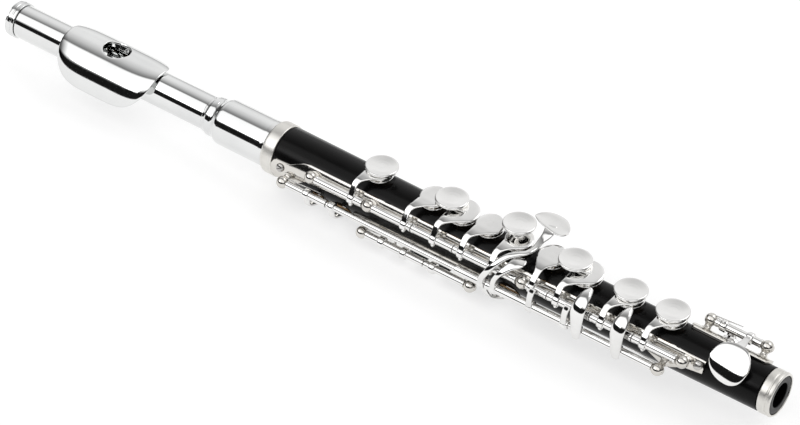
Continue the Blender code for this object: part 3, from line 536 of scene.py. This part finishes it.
# ---- body ----
SCREWS = (("main_rib_screw_top", 172.0), ("main_rib_screw_foot", 157.0), ("thumb_rib_screw", 216.0),
          ("foot_rib_screw", 70.0))
HOLES = (("c", 90, 2.7, PAD_R), ("bb", 90, 2.9, PAD_R), ("a", 90, 2.9, PAD_R),
         ("g_upper", 90, 3.0, PAD_R), ("g_lower", 90, 3.0, PAD_R), ("fsharp", 90, 3.0, PAD_R),
         ("f", 90, 3.1, PAD_R), ("e", 90, 3.2, PAD_R), ("d", 90, 3.2, PAD_R),
         ("gsharp", LOW_SIDE, 2.6, GSHARP_CUP_R - RIM), ("d_trill", LOW_SIDE, 2.2, SMALL_CUP_R - RIM),
         ("dsharp_trill", LOW_SIDE, 2.2, SMALL_CUP_R - RIM), ("eb", 2, 3.0, PAD_R),
         ("thumb", 262, 2.6, PAD_R))
PAD_ANGLE = {name: angle for name, angle, _, _ in HOLES}


def seat_height(u):
    return body_r(u) - SEAT_DEPTH


def make_body():
    foot = FOOT_RING_U + 0.3
    profile = [(0.3, bore_r(0)), (0.3, 6.7), (foot, 6.7), (foot, body_r(foot))]
    profile += [(u, body_r(u)) for u in range(20, 190, 20)]
    profile += [(RING_LOW_U - 0.3, body_r(RING_LOW_U)), (RING_LOW_U - 0.3, 8.1), (BODY_TOP_U, 8.1),
                (BODY_TOP_U, 7.25), (BODY_TOP_U + 2.9, 7.25), (BODY_TOP_U + 2.9, 6.6), (218.5, 6.6),
                (218.5, 7.25), (TENON_END_U - 0.5, 7.25), (TENON_END_U, 6.75),
                (TENON_END_U, bore_r(TENON_END_U))]
    cutters = []
    for name, angle, hole_r, pad_r in HOLES:
        u = CUP_U[name]
        seat = seat_height(u)
        steps = [(2.5, 0), (2.5, hole_r), (seat - 0.1, hole_r), (seat, hole_r + 0.1), (seat, pad_r + 0.6),
                 (seat + 4, pad_r + 0.6), (seat + 4, 0)]
        cutters.append(turned(steps, spot(u, 0, 0), outward(angle), 48, bevel=0))
    for name, angle in SCREWS:
        u = middle(name)
        cutters.append(turned([(body_r(u) - 2.6, 0), (body_r(u) - 2.6, 0.85), (body_r(u) + 1, 0.85),
                               (body_r(u) + 1, 0)], spot(u, 0, 0), outward(angle), 24, bevel=0))
    mesh = drilled_mesh("body_tube_smooth", [on_bore(profile, True, 0.2)], cutters)
    piece("body_tube_smooth", [], BLACK, "body", ["body_tube"], mesh=mesh)

    low, high = reach("tenon_cork")
    cork = [(low, 6.75), (low, 7.35), (low + 0.3, 7.55), (high - 0.3, 7.55), (high, 7.35), (high, 6.75)]
    piece("tenon_cork_smooth", [on_bore(cork, True)], CORK, "body", ["tenon_cork"])
    low, high = RING_LOW_U, BODY_TOP_U
    ring = [(low, 8.3), (low, 9.35), (low + 0.3, 9.58), (high - 1.1, 9.6), (high - 0.5, 9.5), (high, 9.15),
            (high, 8.3)]
    piece("upper_ring_smooth", [on_bore(ring, True)], BRUSHED, "body", ["upper_ring"])
    high = FOOT_RING_U
    ring = [(0, 6.9), (0, 7.4), (0.35, 7.75), (0.9, 7.84), (1.35, 7.8), (1.6, 7.62), (1.9, 7.62), (2.1, 7.8),
            (high - 0.35, 7.84), (high, 7.6), (high, 6.9)]
    piece("foot_ring_smooth", [on_bore(ring, True)], BRUSHED, "body", ["foot_ring"])

    make_ribs()
    for name, angle in SCREWS:
        u = middle(name)
        top = body_r(u) + RIB_GAP + RIB_THICKNESS + GAP
        head = [(top - 1.6, 0), (top - 1.6, 0.65), (top, 0.65), (top, 1.58), (top + 0.3, 1.55),
                (top + 0.62, 1.25), (top + 0.86, 0.7), (top + 0.93, 0)]
        shape = turned(head, spot(u, 0, 0), outward(angle), 40)
        piece(name + "_head", [], STEEL, "body", [name],
              mesh=slotted(name, shape, on_body(u, angle, top + 1.2), outward(angle), 1.7, 0.7))


def slotted(name, shape, centre, direction, half, depth, turn=0.4):
    """A screw head's mesh with its driver slot; centre is the middle of the slot's open side."""
    d = Vector(direction).normalized()
    along = Vector((math.cos(turn), 0, 0)) + d.cross(Vector((1, 0, 0))) * math.sin(turn)
    along = (along - along.dot(d) * d).normalized()
    across = d.cross(along)
    corners = ((1, 1), (-1, 1), (-1, -1), (1, -1))
    rings = [[centre + d * h + along * a * half + across * b * 0.16 for a, b in corners]
             for h in (-depth, 0.6)]
    return drilled_mesh(name, [shape], [skin(rings)])


def strap(stations):
    """A rib strap that lies round the body, with softened edges; stations are (u, first, last angle)."""
    rows = []
    steps = 14
    for u, first, last in stations:
        inner = body_r(u) + RIB_GAP
        angles = [first + (last - first) * i / steps for i in range(steps + 1)]
        skirt = math.degrees(0.22 / inner)
        ring = [on_body(u, a, inner) for a in reversed(angles)]
        ring += [on_body(u, first, inner + RIB_THICKNESS - 0.25)]
        ring += [on_body(u, min(max(a, first + skirt), last - skirt), inner + RIB_THICKNESS) for a in angles]
        ring += [on_body(u, last, inner + RIB_THICKNESS - 0.25)]
        rows.append(ring)
    return skin(rows)


def post(rod, u):
    """A ball post: a ball on a waisted stem, with a small foot on its rib."""
    inward = -Vector((0, rod[0], rod[1])).normalized()
    foot = math.hypot(*rod) - body_r(u) - RIB_GAP - 0.4
    angles = [2.45 * i / 16 for i in range(17)]
    profile = [(-BALL_R * math.cos(a), BALL_R * math.sin(a)) for a in angles]
    profile += [(BALL_R * 0.92, 1.22), (foot - 1.3, 1.2), (foot - 0.75, 1.45), (foot - 0.55, 1.95),
                (foot, 2.0), (foot, 0)]
    shapes = [turned(profile, spot(u, *rod), inward, 40, bevel=0.1)]
    dome = turned([(-0.2, 0), (-0.2, 0.95), (0.12, 0.9), (0.2, 0)],
                  spot(u, *rod) + Vector((BALL_R - 0.12, 0, 0)), (1, 0, 0), 24, bevel=0.06)
    return shapes + [dome]


def make_ribs():
    main = [(197.0, 170, 188), (196.3, 162, 196), (195.2, 158, 202), (189.5, 157, 202), (187.0, 149, 196),
            (184.5, 143, 186), (182.0, 140, 177), (171.0, 140, 174), (124.0, 140, 174), (60.0, 140, 175),
            (46.0, 140, 175), (43.0, 140, 185), (40.4, 140, 195), (36.4, 140, 195), (33.8, 141, 186),
            (31.0, 142, 177), (24.6, 142, 172), (24.4, 143, 171)]
    shapes = [strap(main)]
    for rod, places in ((ROD_A, POSTS_A), (ROD_B, POSTS_B)):
        for u in places:
            shapes += post(rod, u)
    piece("main_rib_smooth", shapes, NICKEL, "body", ["main_rib"])
    thumb = [(163.8, 212, 220), (163.0, 206, 226), (159.9, 203, 226), (111.0, 203, 226), (109.6, 207, 222),
             (109.2, 212, 217)]
    shapes = [strap(thumb)]
    for u in POSTS_C:
        shapes += post(ROD_C, u)
    piece("thumb_rib_smooth", shapes, NICKEL, "body", ["thumb_rib"])
    small = [(36.4, 44, 70), (35.8, 36, 78), (30.6, 34, 78), (29.8, 43, 78), (29.0, 52, 78), (15.4, 52, 78),
             (14.6, 43, 78), (13.8, 34, 78), (8.2, 36, 78), (7.4, 44, 66)]
    shapes = [strap(small)]
    for u in POSTS_D:
        shapes += post(ROD_D, u)
    piece("foot_rib_smooth", shapes, NICKEL, "body", ["foot_rib"])

    for name, rod in (("steel_c", ROD_A), ("steel_left", ROD_A), ("steel_right", ROD_A),
                      ("steel_thumb", ROD_C), ("steel_eb", ROD_D)):
        low, high = reach(name)
        piece(name + "_smooth", [on_rod(rod, [(low, 0), (low, STEEL_R), (high, STEEL_R), (high, 0)])], STEEL,
              "body", [name])
    needles = []
    for rod, post_u, tip_u, side in (
            (ROD_A, POSTS_A[0], POSTS_A[0] - 14, 1), (ROD_A, POSTS_A[1], POSTS_A[1] - 17, 1),
            (ROD_A, POSTS_A[2], POSTS_A[2] + 16, 1), (ROD_A, POSTS_A[2], POSTS_A[2] - 13, -1),
            (ROD_A, POSTS_A[3], POSTS_A[3] + 12, 1), (ROD_B, POSTS_B[0], POSTS_B[0] - 15, -1),
            (ROD_B, POSTS_B[1], POSTS_B[1] + 13, -1), (ROD_C, POSTS_C[0], POSTS_C[0] - 12, -1),
            (ROD_D, POSTS_D[0], POSTS_D[0] - 11, -1)):
        y, z = rod
        low = z - 1.7 if side > 0 else z + 1.75
        halfway = spot((post_u + tip_u) / 2, y + 0.9, low - 0.15 * side)
        tip = spot(tip_u, y + 1.5, low - 0.1 * side)
        needles.append(wire([spot(post_u, y + 0.6, low), halfway, tip], 0.24, 0.14))
    piece("needle_springs", needles, STEEL, "body")


# ---- keys ----
def barrel(rod, tube, collars, r=TUBE_R, collar_r=COLLAR_R, hole_r=STEEL_R + 0.1):
    """A hinge tube with beaded ends and a turned collar wherever an arm stands on it."""
    u0, u1 = tube
    bead = r + 0.12
    profile = [(u0, hole_r), (u0, bead), (u0 + 0.8, bead), (u0 + 0.9, r)]
    for u in sorted(collars):
        profile += [(u - 1.25, r), (u - 1.15, collar_r - 0.2), (u - 0.75, collar_r), (u + 0.75, collar_r),
                    (u + 1.15, collar_r - 0.2), (u + 1.25, r)]
    profile += [(u1 - 0.9, r), (u1 - 0.8, bead), (u1, bead), (u1, hole_r)]
    return on_rod(rod, profile, 0.12, True)


def tail(rod, u, towards, length=2.9):
    """The pointed foot of an arm, past its hinge tube."""
    d = Vector((0, *towards)).normalized()
    profile = [(0.6, 0), (0.6, 1.0), (1.5, 0.95), (length - 0.6, 0.75), (length - 0.1, 0.4), (length, 0)]
    return turned(profile, spot(u, *rod), d, 20, bevel=0.1)


def cup_height(u):
    return seat_height(u) + 2 * GAP + PAD_HEIGHT + CUP_PLATE


def cup_wall(u, angle, r=CUP_R):
    """A pad cup: a shallow dome with a rolled rim, hollow under its plate."""
    low, top = seat_height(u) + GAP + RIM + (WIDE_RIM_LIFT if r > CUP_R else 0), cup_height(u)
    ceiling = top - CUP_PLATE
    inner = r - RIM + GAP
    profile = [(ceiling, 0), (ceiling, inner), (low, inner), (low - 0.02, r - 0.05), (low + 0.35, r + 0.02),
               (low + 0.5, r - 0.12), (top - 0.75, r - 0.1), (top - 0.3, r - 0.25), (top - 0.03, r - 0.75),
               (top + 0.1, r * 0.45), (top + 0.14, 0)]
    return turned(profile, spot(u, 0, 0), outward(angle), DISC, bevel=0.14)


def pad_shape(u, angle, r=PAD_R):
    low = seat_height(u) + GAP
    profile = [(low, 0), (low + 0.02, r * 0.7), (low - 0.02, r - 0.5), (low + 0.1, r - 0.15),
               (low + 0.4, r), (low + 1.2, r), (low + 1.3, r - 0.06), (low + 1.4, r),
               (low + PAD_HEIGHT, r), (low + PAD_HEIGHT, 0)]
    return turned(profile, spot(u, 0, 0), outward(angle), DISC, bevel=0.1)


def touch(centre, stem=1.6, neck=2.6, lean=1.5):
    """A round finger touch, slightly dished, on its pedestal."""
    a = math.radians(lean)
    r = TOUCH_R
    profile = [(-0.7 - stem, 0), (-0.7 - stem, neck - 0.2), (-1.2, neck - 0.5), (-0.75, neck),
               (-0.35, r - 0.9), (-0.15, r - 0.1), (0.1, r), (0.45, r), (0.75, r - 0.12), (0.9, r - 0.4),
               (0.86, r - 0.75), (0.7, r - 1.5), (0.46, r - 2.7), (0.28, r - 4.0), (0.22, 0.8), (0.21, 0)]
    return turned(profile, centre, (0, -math.sin(a), math.cos(a)), 72, bevel=0.18)


def leaf(cup_u, collar_u, r, thickness=0.85):
    """A main-rod arm that spreads into a leaf over its open cup.

    Its crown-side edge runs straight from the cup's flank to the hinge tube, and its foot-side edge
    is scooped in close to the cup."""
    lift = turned_about(ROD_A, OPEN_ANGLE)
    centre = lift @ on_body(cup_u, 90, cup_height(cup_u) - 0.2)
    plane = Vector((0, math.cos(math.radians(OPEN_ANGLE)), math.sin(math.radians(OPEN_ANGLE))))
    y0, z0 = ROD_A
    wide = r + 0.1
    near = centre - plane * wide * 0.62
    half = math.sqrt(wide ** 2 - (0.62 * wide) ** 2)
    shoulder = centre - plane * (wide + 0.9)
    rows = [(collar_u + 1.1, collar_u - 1.1, y0 - 1.0, z0 + 1.3),
            (collar_u + 1.15, collar_u - 1.15, y0 - 0.1, z0 + 2.9),
            (collar_u + 1.1, collar_u - 1.3, (y0 + shoulder.y) / 2 - 0.2, shoulder.z - 1.4),
            ((collar_u + cup_u + half) / 2 + 0.5, (collar_u + cup_u) / 2 - 1.7, shoulder.y,
             shoulder.z - 0.25),
            (cup_u + half + 0.25, cup_u - half, near.y, near.z)]
    edges = [(spot(a, y, z), spot(b, y, z), 0.0) for a, b, y, z in smooth(rows, 7)[:-1]]
    for k in range(17):
        v = -0.62 + 1.61 * math.sin(math.pi / 2 * k / 16)
        across = wide * math.sqrt(max(1 - v * v, 0))
        at = centre + plane * wide * v
        edges.append((at + Vector((-across, 0, 0)), at + Vector((across, 0, 0)), 0.0))
    return plate(edges, thickness, 0.12, 0.5)


def bridge(cup_u, touch_u, y, z):
    """Carries an offset touch from the plate of its cup."""
    level = (turned_about(ROD_A, OPEN_ANGLE) @ on_body(cup_u, 90, cup_height(cup_u))).z
    return ribbon([(cup_u - 1.5, y, level - 0.2, 3.0), (cup_u + 1.4, y, level + 0.1, 4.2),
                   (touch_u - 1.4, y, z - 0.8, 4.2), (touch_u + 0.6, y, z - 0.7, 3.4)], 0.8, (0, 1, 0))


def open_key(name, tube, arms, finger=None, offset=False):
    """A main-rod key; arms are (cup name, collar), and finger is (u, y, z, stem) of its touch."""
    lift = turned_about(ROD_A, OPEN_ANGLE)
    r = WIDE_CUP_R if offset else CUP_R
    shapes = [barrel(ROD_A, tube, [a[1] for a in arms])]
    for cup_name, collar_u in arms:
        u = CUP_U[cup_name]
        shapes += [tail(ROD_A, collar_u, (-0.35, -1)), leaf(u, collar_u, r), moved(cup_wall(u, 90, r), lift)]
        make_pad(cup_name, name, lift)
    if finger:
        u, y, z, stem = finger
        shapes.append(touch(spot(u, y, z), stem, 1.6 if offset else 2.6))
        if offset:
            shapes.append(bridge(CUP_U[arms[0][0]], u, y, z))
    piece(name + "_smooth", shapes, KEY_SILVER, name, [name])


def make_pad(cup_name, body, lift=None):
    small = {"gsharp": GSHARP_CUP_R, "d_trill": SMALL_CUP_R, "dsharp_trill": SMALL_CUP_R}
    r = small.get(cup_name, CUP_R) - RIM
    shape = pad_shape(CUP_U[cup_name], PAD_ANGLE[cup_name], r)
    piece("pad_skin_" + cup_name, [moved(shape, lift) if lift else shape], SKIN, body,
          ["pad_" + cup_name])


def tubes_between(first, last, ends):
    edges = [first - POST_CLEAR] + list(ends) + [last + POST_CLEAR]
    return [(b + 0.175, a - 0.175) for a, b in zip(edges, edges[1:])]


def make_main_keys():
    c_tube, = tubes_between(POSTS_A[0], POSTS_A[1], ())
    bb_tube, a_tube, g_tube = tubes_between(POSTS_A[1], POSTS_A[2], (137.2, 120.2))
    fsharp_tube, f_tube, e_tube, d_tube = tubes_between(POSTS_A[2], POSTS_A[3], (82.6, 66.0, 49.6))
    open_key("c_key", c_tube, [("c", CUP_U["c"] + 3.8)], (CUP_U["c"], 0, 12.9, 1.0))
    open_key("bb_key", bb_tube, [("bb", CUP_U["bb"] + 4.2)])
    open_key("a_key", a_tube, [("a", CUP_U["a"] + 4.1)], (CUP_U["a"] + 5.5, 0.1, 13.8, 0.3), True)
    open_key("g_key", g_tube, [("g_upper", CUP_U["g_upper"] + 3.7), ("g_lower", CUP_U["g_lower"] + 3.4)],
             (CUP_U["g_lower"] + 2.4, 2.2, 15.0, 1.9))
    open_key("fsharp_key", fsharp_tube, [("fsharp", CUP_U["fsharp"] + 0.4)])
    open_key("f_key", f_tube, [("f", CUP_U["f"] + 4.2)], (CUP_U["f"] + 5.4, 0, 13.5, 0.1), True)
    open_key("e_key", e_tube, [("e", CUP_U["e"] + 3.8)], (CUP_U["e"] + 0.6, 0, 12.3, 1.0))
    open_key("d_key", d_tube, [("d", CUP_U["d"] + 3.7)], (CUP_U["d"] + 0.7, 0, 12.2, 1.0))


def trill_touch(u):
    """A tall curved blade that stands on the trill rod and bends over the main rod."""
    y0, z0 = ROD_B
    return ribbon([(u, y0 - 0.7, z0 - 2.7, 2.8), (u, y0 - 1.2, z0 - 0.6, 3.6), (u, y0 - 1.5, 2.6, 4.6),
                   (u, y0 - 1.4, 6.2, 5.2), (u, -12.6, 9.2, 5.0), (u, -9.6, 10.9, 3.8), (u, -7.0, 11.3, 1.8)],
                  1.0, bulge=0.55)


def trill_arm(name):
    u, angle = CUP_U[name], PAD_ANGLE[name]
    hub = on_body(u, angle, cup_height(u) - 0.35)
    return ribbon([(u, ROD_B[0] + 0.1, ROD_B[1] - 1.1, 2.0), (u, -12.2, -6.2, 2.6),
                   (u, hub.y, hub.z, 4.2)], 1.0)


def make_side_keys():
    y0, z0 = ROD_B
    high, low = POSTS_B
    touch_u = {"dsharp_trill": 53.8, "d_trill": 69.2}
    inner = (67.6, CUP_U["d_trill"] + 1.9)
    r = ROD_B_R
    rod = [(low - TRILL_ROD_END, 0), (low - TRILL_ROD_END, r), (low + 2.0, r), (low + 2.0, 1.35),
           (inner[0] - 0.4, 1.35), (inner[0] - 0.4, r), (inner[1] + 0.4, r), (inner[1] + 0.4, 1.35),
           (high - 2.0, 1.35), (high - 2.0, r), (high + TRILL_ROD_END, r), (high + TRILL_ROD_END, 0)]
    collars = [[(u - 1.2, 1.3), (u - 1.1, 1.85), (u - 0.7, 1.98), (u + 0.7, 1.98), (u + 1.1, 1.85),
                (u + 1.2, 1.3)]
               for u in (CUP_U["dsharp_trill"], touch_u["dsharp_trill"])]
    shapes = [on_rod(ROD_B, rod)] + [on_rod(ROD_B, c) for c in collars]
    shapes += [trill_arm("dsharp_trill"), trill_touch(touch_u["dsharp_trill"])]
    shapes.append(cup_wall(CUP_U["dsharp_trill"], LOW_SIDE, SMALL_CUP_R))
    piece("dsharp_trill_smooth", shapes, KEY_SILVER, "dsharp_trill_key", ["dsharp_trill_key"])
    make_pad("dsharp_trill", "dsharp_trill_key")

    shapes = [barrel(ROD_B, inner, [touch_u["d_trill"], CUP_U["d_trill"]], D_TUBE_R, 1.8, r + 0.1)]
    shapes += [trill_arm("d_trill"), trill_touch(touch_u["d_trill"])]
    shapes.append(cup_wall(CUP_U["d_trill"], LOW_SIDE, SMALL_CUP_R))
    piece("d_trill_smooth", shapes, KEY_SILVER, "d_trill_key", ["d_trill_key"])
    make_pad("d_trill", "d_trill_key")

    u = CUP_U["gsharp"]
    hub = on_body(u, LOW_SIDE, cup_height(u) - 0.35)
    shapes = [barrel(ROD_B, (105.6, 117.4), [107.0], OUTER_TUBE_R, 2.1, D_TUBE_R + 0.1)]
    shapes.append(ribbon([(107.0, y0 - 0.1, z0 - 1.5, 2.2), (104.4, -11.6, -6.9, 2.6),
                          (u, hub.y, hub.z, 4.2)], 1.0))
    shapes.append(ribbon([(107.0, y0 - 1.3, z0 - 0.2, 2.0), (106.5, y0 - 1.85, 1.4, 2.1),
                          (104.8, -14.6, 4.8, 2.1), (102.8, -12.9, 8.1, 2.1), (100.5, -10.0, 10.5, 2.1),
                          (97.8, -7.4, 11.6, 2.1), (95.5, -5.0, 11.9, 2.2), (94.6, -1.6, 12.4, 2.2),
                          (94.5, 1.6, 13.5, 2.6), (94.0, 4.6, 15.0, 4.0), (94.6, 7.4, 15.6, 4.4)], 1.1,
                         bulge=0.1))
    shapes += [moon_touch(), cup_wall(u, LOW_SIDE, GSHARP_CUP_R)]
    piece("gsharp_smooth", shapes, KEY_SILVER, "gsharp_key", ["gsharp_key"])
    make_pad("gsharp", "gsharp_key")

    shapes = [barrel(ROD_B, (72.6, 105.2), [74.2, 87.8, 102.2], OUTER_TUBE_R, 2.1, D_TUBE_R + 0.1)]
    shapes.append(ribbon([(102.2, y0 - 1.4, z0 + 0.2, 2.0), (101.6, y0 - 1.85, 3.0, 1.8),
                          (100.0, -14.0, 6.2, 1.9), (98.0, -11.9, 8.6, 2.8), (96.6, -9.9, 9.7, 4.6),
                          (95.5, -8.3, 10.0, 4.6), (94.8, -7.2, 10.0, 2.6)], 0.9, bulge=0.15))
    for arm_u in (87.8, 74.2):
        shapes.append(ribbon([(arm_u, y0 - 1.3, z0 + 0.2, 2.2), (arm_u - 0.4, y0 - 1.6, 3.6, 2.2),
                              (arm_u - 0.8, -13.5, 6.6, 2.4)], 1.1))
    piece("bb_lever_smooth", shapes, KEY_SILVER, "bb_lever", ["bb_lever"])


def moon_touch():
    """The half-moon touch: rows of (u, near edge, far edge)."""
    rows = smooth([(102.0, 8.3, 8.7), (100.8, 7.3, 11.0), (98.4, 6.1, 12.5), (95.0, 5.2, 13.0),
                   (92.0, 4.6, 12.4), (89.8, 4.8, 10.8), (88.5, 6.0, 9.0), (88.2, 6.9, 8.1)])
    level = 15.3
    slope = 0.09
    edges = [(spot(u, far, level + slope * far), spot(u, near, level + slope * near), 0.0)
             for u, near, far in rows]
    return plate(edges, 0.85, 0.3, 0.6)


def make_foot_and_thumb_keys():
    y0, z0 = ROD_D
    u = CUP_U["eb"]
    hub = on_body(u, PAD_ANGLE["eb"], cup_height(u) - 0.35)
    tube = (POSTS_D[1] + POST_CLEAR, POSTS_D[0] - POST_CLEAR)
    arm_u, pad_u = u - 7.2, u + 2.6
    shapes = [barrel(ROD_D, tube, [arm_u, pad_u])]
    shapes.append(ribbon([(pad_u, y0 + 0.9, z0 + 0.3, 2.0), (pad_u - 0.8, 12.2, 5.0, 2.6),
                          (u, hub.y, hub.z, 4.6)], 1.0))
    shapes.append(ribbon([(arm_u, y0 - 0.6, z0 + 0.9, 2.0), (arm_u - 0.4, 5.0, 10.6, 2.1),
                          (arm_u - 0.9, 1.6, 11.3, 2.8), (arm_u - 1.0, -1.9, 11.7, 3.2)], 0.8))
    shapes += [eb_touch(), tail(ROD_D, pad_u, (-0.4, 1)), cup_wall(u, PAD_ANGLE["eb"])]
    piece("eb_key_smooth", shapes, KEY_SILVER, "eb_key", ["eb_key"])
    make_pad("eb", "eb_key")

    y0, z0 = ROD_C
    u = CUP_U["thumb"]
    angle = PAD_ANGLE["thumb"]
    lift = turned_about(ROD_C, -OPEN_ANGLE)
    hub = lift @ on_body(u, angle, cup_height(u) - 0.35)
    tube = (131.2, POSTS_C[0] - POST_CLEAR)
    shapes = [barrel(ROD_C, tube, [139.4, 148.6])]
    shapes.append(ribbon([(148.6, y0 + 0.3, z0 - 0.9, 2.0), (148.0, -8.6, -10.9, 2.4),
                          (u + 0.1, -4.8, hub.z + 0.2, 4.4), (u + 0.1, hub.y + 0.6, hub.z + 0.05, 5.6)],
                         1.0))
    shapes.append(ribbon([(139.4, y0 + 0.3, z0 - 0.9, 2.0), (139.0, -8.8, -11.0, 3.0),
                          (138.6, -5.4, -12.2, 7.2), (138.4, -1.0, -12.3, 7.8), (138.4, 2.0, -11.7, 4.0)],
                         0.9))
    shapes.append(moved(cup_wall(u, angle), lift))
    piece("thumb_b_smooth", shapes, KEY_SILVER, "thumb_b_key", ["thumb_b_key"])
    make_pad("thumb", "thumb_b_key", lift)
    shapes = [barrel(ROD_C, (POSTS_C[1] + POST_CLEAR, 130.8), [127.6])]
    shapes.append(ribbon([(127.6, y0 + 0.3, z0 - 0.9, 2.0), (127.8, -8.8, -11.0, 2.8),
                          (128.4, -5.6, -12.1, 6.2), (128.8, -1.6, -12.2, 6.8), (129.0, 1.4, -11.6, 3.4)],
                         0.9))
    piece("thumb_bb_smooth", shapes, KEY_SILVER, "thumb_bb_key", ["thumb_bb_key"])


def eb_touch():
    """A broad spade-shaped touch, bowed along its short side and turned to the near side."""
    middle_u, half_u, half_height, bow = 16.5, 7.1, 6.7, 1.25
    slope = math.radians(50)
    face = Vector((0, -math.sin(slope), math.cos(slope)))
    rise = Vector((0, math.cos(slope), math.sin(slope)))
    middle = on_body(middle_u, 126.4, 11.3)
    edges = []
    for i in range(25):
        t = math.sin(math.pi / 2 * (i / 12 - 1)) * 0.997
        share = (1 - abs(t) ** 2.3) ** 0.5
        bulge = bow * share ** 2
        centre = middle + spot(half_u * t, 0, 0) - spot(0, 0, 0) - face * bulge
        half = rise * half_height * share
        edges.append((centre + half, centre - half * (1 - 0.12 * t), bulge))
    return plate(edges, 0.8, 0.0, 0.7)


# ---- camera, lights and stage ----
def aim(thing, target):
    thing.rotation_euler = (Vector(target) - thing.location).to_track_quat("-Z", "Y").to_euler()


def softbox(name, place, size, power, target):
    data = bpy.data.lights.new(name, "AREA")
    data.shape = "RECTANGLE"
    data.size, data.size_y = size
    data.energy = power
    made = bpy.data.objects.new(name, data)
    made.location = place
    bpy.context.scene.collection.objects.link(made)
    aim(made, target)


def make_camera():
    azimuth, elevation, roll, distance = (math.radians(33.9), math.radians(38.1), math.radians(3.8), 1.212)
    forward = Vector((-math.sin(azimuth) * math.cos(elevation), math.cos(azimuth) * math.cos(elevation),
                      -math.sin(elevation)))
    right = Vector((math.cos(azimuth), math.sin(azimuth), 0))
    up = right.cross(forward)
    tilted = math.cos(roll) * right + math.sin(roll) * up
    data = bpy.data.cameras.new("camera")
    data.sensor_width, data.lens, data.clip_start = 36, 161.5, 0.05
    data.shift_x, data.shift_y = 0.0301, -0.0214
    made = bpy.data.objects.new("camera", data)
    bpy.context.scene.collection.objects.link(made)
    target = Vector((ORIGIN.x - LENGTH * MM / 2, ORIGIN.y, ORIGIN.z))
    matrix = Matrix((tilted, tilted.cross(forward), -forward)).transposed().to_4x4()
    matrix.translation = target - forward * distance
    made.matrix_world = matrix
    bpy.context.scene.camera = made


def make_stage():
    scene = bpy.context.scene
    scene.view_settings.view_transform = "Standard"
    floor_mesh = bpy.data.meshes.new("floor")
    half = FLOOR_HALF
    corners = [(-half, -half, 0), (half, -half, 0), (half, half, 0), (-half, half, 0)]
    floor_mesh.from_pydata(corners, [], [(0, 1, 2, 3)])
    floor = bpy.data.objects.new("floor", floor_mesh)
    scene.collection.objects.link(floor)
    floor.data.materials.append(surface("floor_paper", ((0.42, 0.42, 0.42), (0.44, 0.44, 0.44)),
                                        (0.7, 0.8), 0.0, 6, 300, bump=(0.02, 0.0001), glow=0.63))

    make_world(scene)
    softbox("key_light", (0.7, 0.9, 1.5), (1.1, 1.1), 5, (0, 0, 0))
    softbox("fill_light", (-0.6, -1.2, 0.9), (1.2, 0.5), 3, (0, 0, 0))


def make_world(scene):
    """A studio of long panels beside the tube, shaded by the angle round the bore's direction.

    Degrees are from straight up, negative behind the instrument and positive in front of it."""
    panels = [(-180, 0.8), (-92, 0.8), (-88, 0.25), (-83, 0.75), (-60, 1.0), (-40, 0.95), (-20, 0.7),
              (4, 0.2), (10, 1.3), (54, 1.4), (65, 0.01), (89, 0.01), (91, 0.8), (180, 0.8)]
    world = bpy.data.worlds.new("studio")
    scene.world = world
    world.use_nodes = True
    tree = world.node_tree
    place = tree.nodes.new("ShaderNodeTexCoord")
    parts = tree.nodes.new("ShaderNodeSeparateXYZ")
    front = tree.nodes.new("ShaderNodeMath")
    front.operation = "MULTIPLY"
    front.inputs[1].default_value = -1
    angle = tree.nodes.new("ShaderNodeMath")
    angle.operation = "ARCTAN2"
    share = tree.nodes.new("ShaderNodeMath")
    share.operation = "MULTIPLY_ADD"
    share.inputs[1].default_value = 1 / (2 * math.pi)
    share.inputs[2].default_value = 0.5
    tree.links.new(place.outputs["Generated"], parts.inputs["Vector"])
    tree.links.new(parts.outputs["Y"], front.inputs[0])
    tree.links.new(front.outputs["Value"], angle.inputs[0])
    tree.links.new(parts.outputs["Z"], angle.inputs[1])
    tree.links.new(angle.outputs["Value"], share.inputs[0])
    shade = ramp(tree, share.outputs["Value"], [(0.5 + a / 360, grey(v)) for a, v in panels])
    along = tree.nodes.new("ShaderNodeMath")
    along.operation = "ABSOLUTE"
    tree.links.new(parts.outputs["X"], along.inputs[0])
    ends = ramp(tree, along.outputs["Value"], [(0.0, grey(1.0)), (0.72, grey(1.0)), (0.9, grey(0.12)),
                                              (1.0, grey(0.05))])
    background = tree.nodes["Background"]
    tree.links.new(shade, background.inputs["Color"])
    tree.links.new(ends, background.inputs["Strength"])


make_camera()
make_head()
make_body()
make_main_keys()
make_side_keys()
make_foot_and_thumb_keys()
make_stage()
